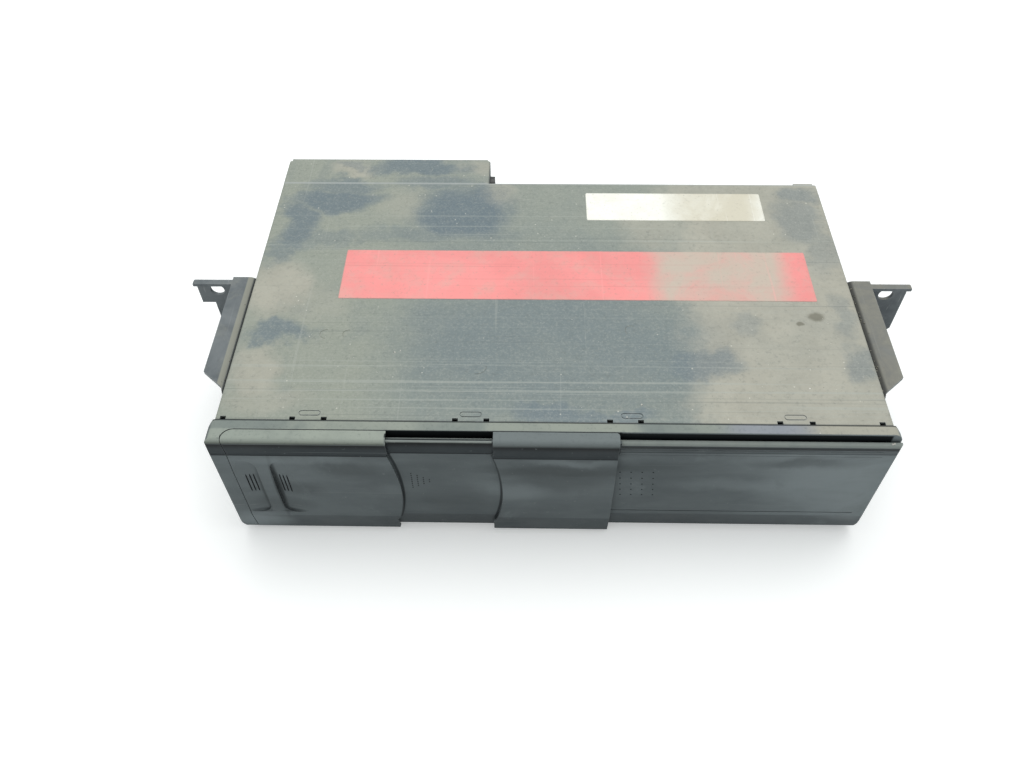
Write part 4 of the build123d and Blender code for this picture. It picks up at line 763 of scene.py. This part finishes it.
def surface(*names):
    """Ray-cast tree over these CAD nodes, in the row frame."""
    points = []
    faces = []
    for name in names:
        node = frame["nodes"][name]
        start = len(points)
        points += [node.matrix_world @ vertex.co for vertex in node.data.vertices]
        faces += [[start + index for index in face.vertices] for face in node.data.polygons]
    return BVHTree.FromPolygons(points, faces)


def from_front(tree, x, z):
    """Point and normal where a line from the front meets the surface; x and z in mm."""
    point, normal, _, _ = tree.ray_cast(Vector((x * MM, RAY_FRONT, z * MM)), Vector((0, 1, 0)))
    return point, normal


def from_above(tree, x, y):
    """Point and normal where a line from above meets the surface; x and y in mm."""
    point, normal, _, _ = tree.ray_cast(Vector((x * MM, y * MM, RAY_ABOVE)), Vector((0, 0, -1)))
    return point, normal


def piece(name, mesh_builder, material, body):
    """Turn a bmesh into a named piece that rides on a CAD body."""
    mesh = bpy.data.meshes.new(name)
    bmesh.ops.recalc_face_normals(mesh_builder, faces=mesh_builder.faces)
    mesh_builder.to_mesh(mesh)
    mesh_builder.free()
    mesh.shade_smooth()
    mesh.materials.append(material)
    made = bpy.data.objects.new(name, mesh)
    bpy.context.collection.objects.link(made)
    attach(made, body)
    return made


def dome(bm, point, normal, radius, height):
    """Small round dot standing on the surface; sizes in mm."""
    sides = 10
    turn = normal.to_track_quat("Z", "Y").to_matrix()
    rings = []
    for reach, lift in ((1.0, -0.3), (0.9, 0.45), (0.5, 0.9)):
        ring = []
        for step in range(sides):
            angle = 2 * pi * step / sides
            flat = Vector((reach * radius * cos(angle), reach * radius * sin(angle), lift * height))
            ring.append(bm.verts.new(point + turn @ (flat * MM)))
        rings.append(ring)
    tip = bm.verts.new(point + normal * height * MM)
    for low, high in zip(rings, rings[1:]):
        for step in range(sides):
            ahead = (step + 1) % sides
            bm.faces.new((low[step], low[ahead], high[ahead], high[step]))
    for step in range(sides):
        bm.faces.new((rings[-1][step], rings[-1][(step + 1) % sides], tip))


def rib(bm, tree, x, z_low, z_high, half_width, height):
    """Upright rib with tapering ends that follows the surface it stands on; sizes in mm."""
    steps = 14
    profile = ((-1, -0.3), (-0.75, 0.8), (0, 1), (0.75, 0.8), (1, -0.3))
    rows = []
    for step in range(steps + 1):
        share = step / steps
        point, normal = from_front(tree, x, z_low + (z_high - z_low) * share)
        taper = sqrt(max(0.02, 1 - (2 * share - 1) ** 8))
        row = []
        for side, lift in profile:
            along = Vector((side * half_width * taper * MM, 0, 0))
            row.append(bm.verts.new(point + along + normal * lift * height * taper * MM))
        rows.append(row)
    for low, high in zip(rows, rows[1:]):
        for place in range(len(profile) - 1):
            bm.faces.new((low[place], low[place + 1], high[place + 1], high[place]))
    bm.faces.new(rows[0])
    bm.faces.new(rows[-1])


def crumb(bm, point, size, flatness=0.6):
    """Irregular grain resting on a point; size in mm."""
    grain = bmesh.ops.create_icosphere(bm, subdivisions=1, radius=size * MM / 2)["verts"]
    stretch = Vector((rng.uniform(0.7, 1.3), rng.uniform(0.6, 1.1), flatness * rng.uniform(0.7, 1.2)))
    spin = Matrix.Rotation(rng.uniform(0, 2 * pi), 3, "Z")
    sunk = 0.3 * flatness * size * MM
    for vertex in grain:
        rough = vertex.co * rng.uniform(0.75, 1.2)
        lying = spin @ Vector(a * b for a, b in zip(rough, stretch))
        vertex.co = point + lying + Vector((0, 0, sunk))


def finger_ribs():
    """Three upright ribs in each finger scoop of the outer door, near-black as painted shade of the grooves
    between them; sizes in mm.
    """
    scoop_middles = (-117.4, -104.2)
    pitch = 1.45
    foot = 30.5
    head = 42.7
    tree = surface("outer_door")
    bm = bmesh.new()
    for middle in scoop_middles:
        for place in (-1, 0, 1):
            rib(bm, tree, middle + place * pitch, foot, head, half_width=0.24, height=0.22)
    piece("finger_ribs", bm, bare_plastic_and_shade, "outer_door")


def arrow_dots():
    """Raised dots in an arrow on the inner door, to show which way it slides; sizes in mm."""
    dots_per_column = (8, 6, 4, 2)
    first_x = -54.3
    column_pitch = 2.3
    middle_z = 38.4
    dot_pitch = 1.35
    tree = surface("inner_door")
    bm = bmesh.new()
    for column, count in enumerate(dots_per_column):
        for step in range(count):
            z = middle_z + dot_pitch * (step - (count - 1) / 2)
            point, normal = from_front(tree, first_x + column_pitch * column, z)
            dome(bm, point, normal, radius=0.26, height=0.18)
    piece("arrow_dots", bm, bare_plastic_and_shade, "inner_door")


def panel_dots():
    """Field of small dots, leaning a little, at the left of the fixed panel; sizes in mm."""
    columns = 4
    rows = 5
    first_x = 28.2
    first_z = 28.0
    column_pitch = 4.3
    row_pitch = 3.9
    lean = 0.35
    tree = surface("front_bezel")
    bm = bmesh.new()
    for column in range(columns):
        for row in range(rows):
            x = first_x + column_pitch * column - lean * row
            point, normal = from_front(tree, x, first_z + row_pitch * row)
            dome(bm, point, normal, radius=0.3, height=0.16)
    piece("panel_dots", bm, bare_plastic_and_shade, "case")


def bend_dust():
    """Crumbs of dirt packed into the valleys between the case and its brackets; sizes in mm."""
    valley = 127.9
    spread = 0.8
    front_end = -56
    back_end = 4
    for name, side, count in (("left", -1, 90), ("right", 1, 200)):
        tree = surface(f"{name}_bracket")
        bm = bmesh.new()
        for _ in range(count):
            x = side * (valley + abs(rng.gauss(0, spread)))
            point, normal = from_above(tree, x, rng.uniform(front_end, back_end))
            if point is not None and normal.z > 0.3 and point.z > 0.05:
                crumb(bm, point, rng.uniform(0.2, 0.8) if side > 0 else rng.uniform(0.15, 0.5))
        piece(f"{name}_bend_dust", bm, dust_crumbs, "case")


def top_grit():
    """Grains lying on the cover, kept low so that they stay under the highest point of the labels."""
    count = 170
    half_width = 124
    front = -72
    back = 80
    tree = surface("top_cover", "rear_box")
    bm = bmesh.new()
    for _ in range(count):
        point, normal = from_above(tree, rng.uniform(-half_width, half_width), rng.uniform(front, back))
        if point is not None and normal.z > 0.9:
            crumb(bm, point, rng.uniform(0.18, 0.34), 0.3)
    piece("top_grit", bm, pale_flakes, "case")


def flakes():
    """The few larger pale flakes and nicks on the cover and the front; places and sizes in mm."""
    on_cover = ((-62.4, -41.0), (-60.2, -40.2), (-98.0, -33.0), (34.0, -66.5), (87.5, 8.0), (99.0, -58.0))
    on_front = ((125.6, -81.5), (126.3, -81.2), (98.6, -79.2))
    bm = bmesh.new()
    for node, places, sizes in (("top_cover", on_cover, (0.8, 1.3)), ("front_bezel", on_front, (0.7, 1.1))):
        tree = surface(node)
        for x, y in places:
            point, _ = from_above(tree, x, y)
            crumb(bm, point, rng.uniform(*sizes), 0.07)
    piece("pale_flakes", bm, pale_flakes, "case")


def hairs():
    """Fine fibres lying on the dusty cover."""
    # x, y and length in mm, and how much the heading turns from point to point
    fibres = (
        (-91, -29, 9, 0.9),
        (-84, -33, 6, -0.7),
        (-30, -52, 7, 0.5),
        (31, -30, 8, -0.8),
        (72, 14, 6, 0.6),
    )
    thickness = 0.045 * MM
    lift = 0.05 * MM
    strides = 4
    for number, (x, y, length, curl) in enumerate(fibres, start=1):
        curve = bpy.data.curves.new(f"hair_{number}", "CURVE")
        curve.dimensions = "3D"
        curve.bevel_depth = thickness
        curve.bevel_resolution = 1
        spline = curve.splines.new("NURBS")
        spline.points.add(strides)
        heading = rng.uniform(0, 2 * pi)
        place = Vector((x * MM, y * MM, TOP + lift))
        for point in spline.points:
            point.co = (*place, 1)
            place += Vector((cos(heading), sin(heading), 0)) * length / strides * MM
            heading += curl
        spline.order_u = 4
        spline.use_endpoint_u = True
        hair = bpy.data.objects.new(f"hair_{number}", curve)
        hair.data.materials.append(dust_crumbs)
        bpy.context.collection.objects.link(hair)
        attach(hair, "case")


def head_middles(screws):
    """Middles of the two screw heads on the right of the case, from the box round the whole set."""
    low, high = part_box(screws)
    radius = (high[2] - low[2]) / 2
    proud = 0.01 * MM
    return [(high[0] + proud, y, low[2] + radius) for y in (low[1] + radius, high[1] - radius)]


def cross(bm, middle, spin):
    """Flat dark four-armed star on a head in the case's side, turned by this angle: painted shade for the
    head's crossed recess.
    """
    steps = 24
    outline = []
    for step in range(steps):
        angle = 2 * pi * step / steps
        reach = 0.42 + 1.35 * abs(cos(2 * angle)) ** 5
        flat = Vector((0, reach * cos(angle + spin), reach * sin(angle + spin)))
        outline.append(bm.verts.new(middle + flat * MM))
    centre = bm.verts.new(middle)
    for step in range(steps):
        bm.faces.new((outline[step], outline[(step + 1) % steps], centre))


def screw_crosses():
    """Painted shade for the crossed recesses in the heads of the bracket screws and of the cover screws, as
    flat dark stars.
    """
    bm = bmesh.new()
    for x, y, z in head_middles("bracket_screws") + head_middles("cover_screws"):
        for side in (-1, 1):
            cross(bm, Vector((side * x, y, z)), rng.uniform(0, pi))
    piece("screw_crosses", bm, painted_recess_shade, "case")


def eject_coil():
    """The eject spring's coil: a copy of the rigid node's mesh, riding on the case in its place."""
    node = frame["nodes"]["eject_spring"]
    coil = bpy.data.objects.new("eject_coil", node.data.copy())
    bpy.context.collection.objects.link(coil)
    coil.matrix_world = node.matrix_world
    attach(coil, "case")
    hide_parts("eject_spring")
    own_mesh(coil)


finger_ribs()
arrow_dots()
panel_dots()
bend_dust()
top_grit()
flakes()
hairs()
screw_crosses()
eject_coil()


# ---------------------------------------------------------------- floor, light and camera
def seen_rays(tree):
    """1 for rays that look straight at a thing or at its reflection, 0 for rays that only light it."""
    path = tree.nodes.new("ShaderNodeLightPath")
    seen = path.outputs["Is Camera Ray"]
    for ray in ("Is Glossy Ray", "Is Transmission Ray"):
        either = tree.nodes.new("ShaderNodeMath")
        either.operation = "MAXIMUM"
        tree.links.new(seen, either.inputs[0])
        tree.links.new(path.outputs[ray], either.inputs[1])
        seen = either.outputs[0]
    return seen


def pale_floor():
    """Plain pale floor. It is lifted a little where it is looked at, and keeps the object's shadow."""
    width = 8
    gap = 0.0004  # keeps the floor clear of the case's underside
    glow = 0.31
    material = bpy.data.materials.new("floor")
    material.use_nodes = True
    tree = material.node_tree
    shader = tree.nodes["Principled BSDF"]
    shader.inputs["Base Color"].default_value = (0.84, 0.855, 0.85, 1)
    shader.inputs["Roughness"].default_value = 0.85
    shader.inputs["Specular IOR Level"].default_value = 0.1
    seen = seen_rays(tree)
    lift = tree.nodes.new("ShaderNodeMath")
    lift.operation = "MULTIPLY"
    lift.inputs[1].default_value = glow
    tree.links.new(seen, lift.inputs[0])
    shader.inputs["Emission Color"].default_value = (0.98, 1.0, 1.0, 1)
    tree.links.new(lift.outputs[0], shader.inputs["Emission Strength"])
    bpy.ops.mesh.primitive_plane_add(size=width, location=(0, 0, -gap))
    floor = bpy.context.object
    floor.name = "floor"
    floor.data.materials.append(material)


def softbox(name, at, aim, size, power):
    """Rectangular area light at a point, turned towards another."""
    light = bpy.data.lights.new(name, "AREA")
    light.shape = "RECTANGLE"
    light.size, light.size_y = size
    light.energy = power
    lamp = bpy.data.objects.new(name, light)
    bpy.context.collection.objects.link(lamp)
    lamp.location = at
    lamp.rotation_euler = (Vector(aim) - Vector(at)).to_track_quat("-Z", "Y").to_euler()


def studio():
    """Even surroundings, a little brighter where they are seen, and two soft lamps."""
    unseen_level = 0.5
    seen_level = 0.76
    world = bpy.data.worlds.new("studio")
    bpy.context.scene.world = world
    world.use_nodes = True
    background = world.node_tree.nodes["Background"]
    background.inputs[0].default_value = (0.98, 1.0, 1.0, 1)
    tree = world.node_tree
    seen = seen_rays(tree)
    level = tree.nodes.new("ShaderNodeMapRange")
    level.inputs["To Min"].default_value = unseen_level
    level.inputs["To Max"].default_value = seen_level
    tree.links.new(seen, level.inputs["Value"])
    tree.links.new(level.outputs["Result"], background.inputs[1])
    softbox("overhead", at=(0.1, 0.35, 1.3), aim=(0, 0, 0), size=(1.6, 1.2), power=14)
    softbox("front_fill", at=(-0.6, -1.4, 0.8), aim=(0, 0, 0.03), size=(1.2, 0.8), power=3)


def photo_camera():
    """Camera at the photograph's viewing angle; its place and its two directions are in the row frame."""
    place = (-0.01008, -0.27101, 0.32604)
    data = bpy.data.cameras.new("camera")
    data.sensor_width = 36
    data.lens = 30.75
    data.clip_start = 0.02
    camera = bpy.data.objects.new("camera", data)
    bpy.context.collection.objects.link(camera)
    right = Vector((0.9998, 0.0183, -0.0079)).normalized()
    forward = Vector((-0.0178, 0.6354, -0.7719)).normalized()
    up = right.cross(forward).normalized()
    right = forward.cross(up)
    turn = Matrix((right, up, -forward)).transposed().to_4x4()
    camera.matrix_world = Matrix.Translation(place) @ turn
    bpy.context.scene.camera = camera


pale_floor()
studio()
photo_camera()
bpy.context.scene.view_settings.view_transform = "Standard"
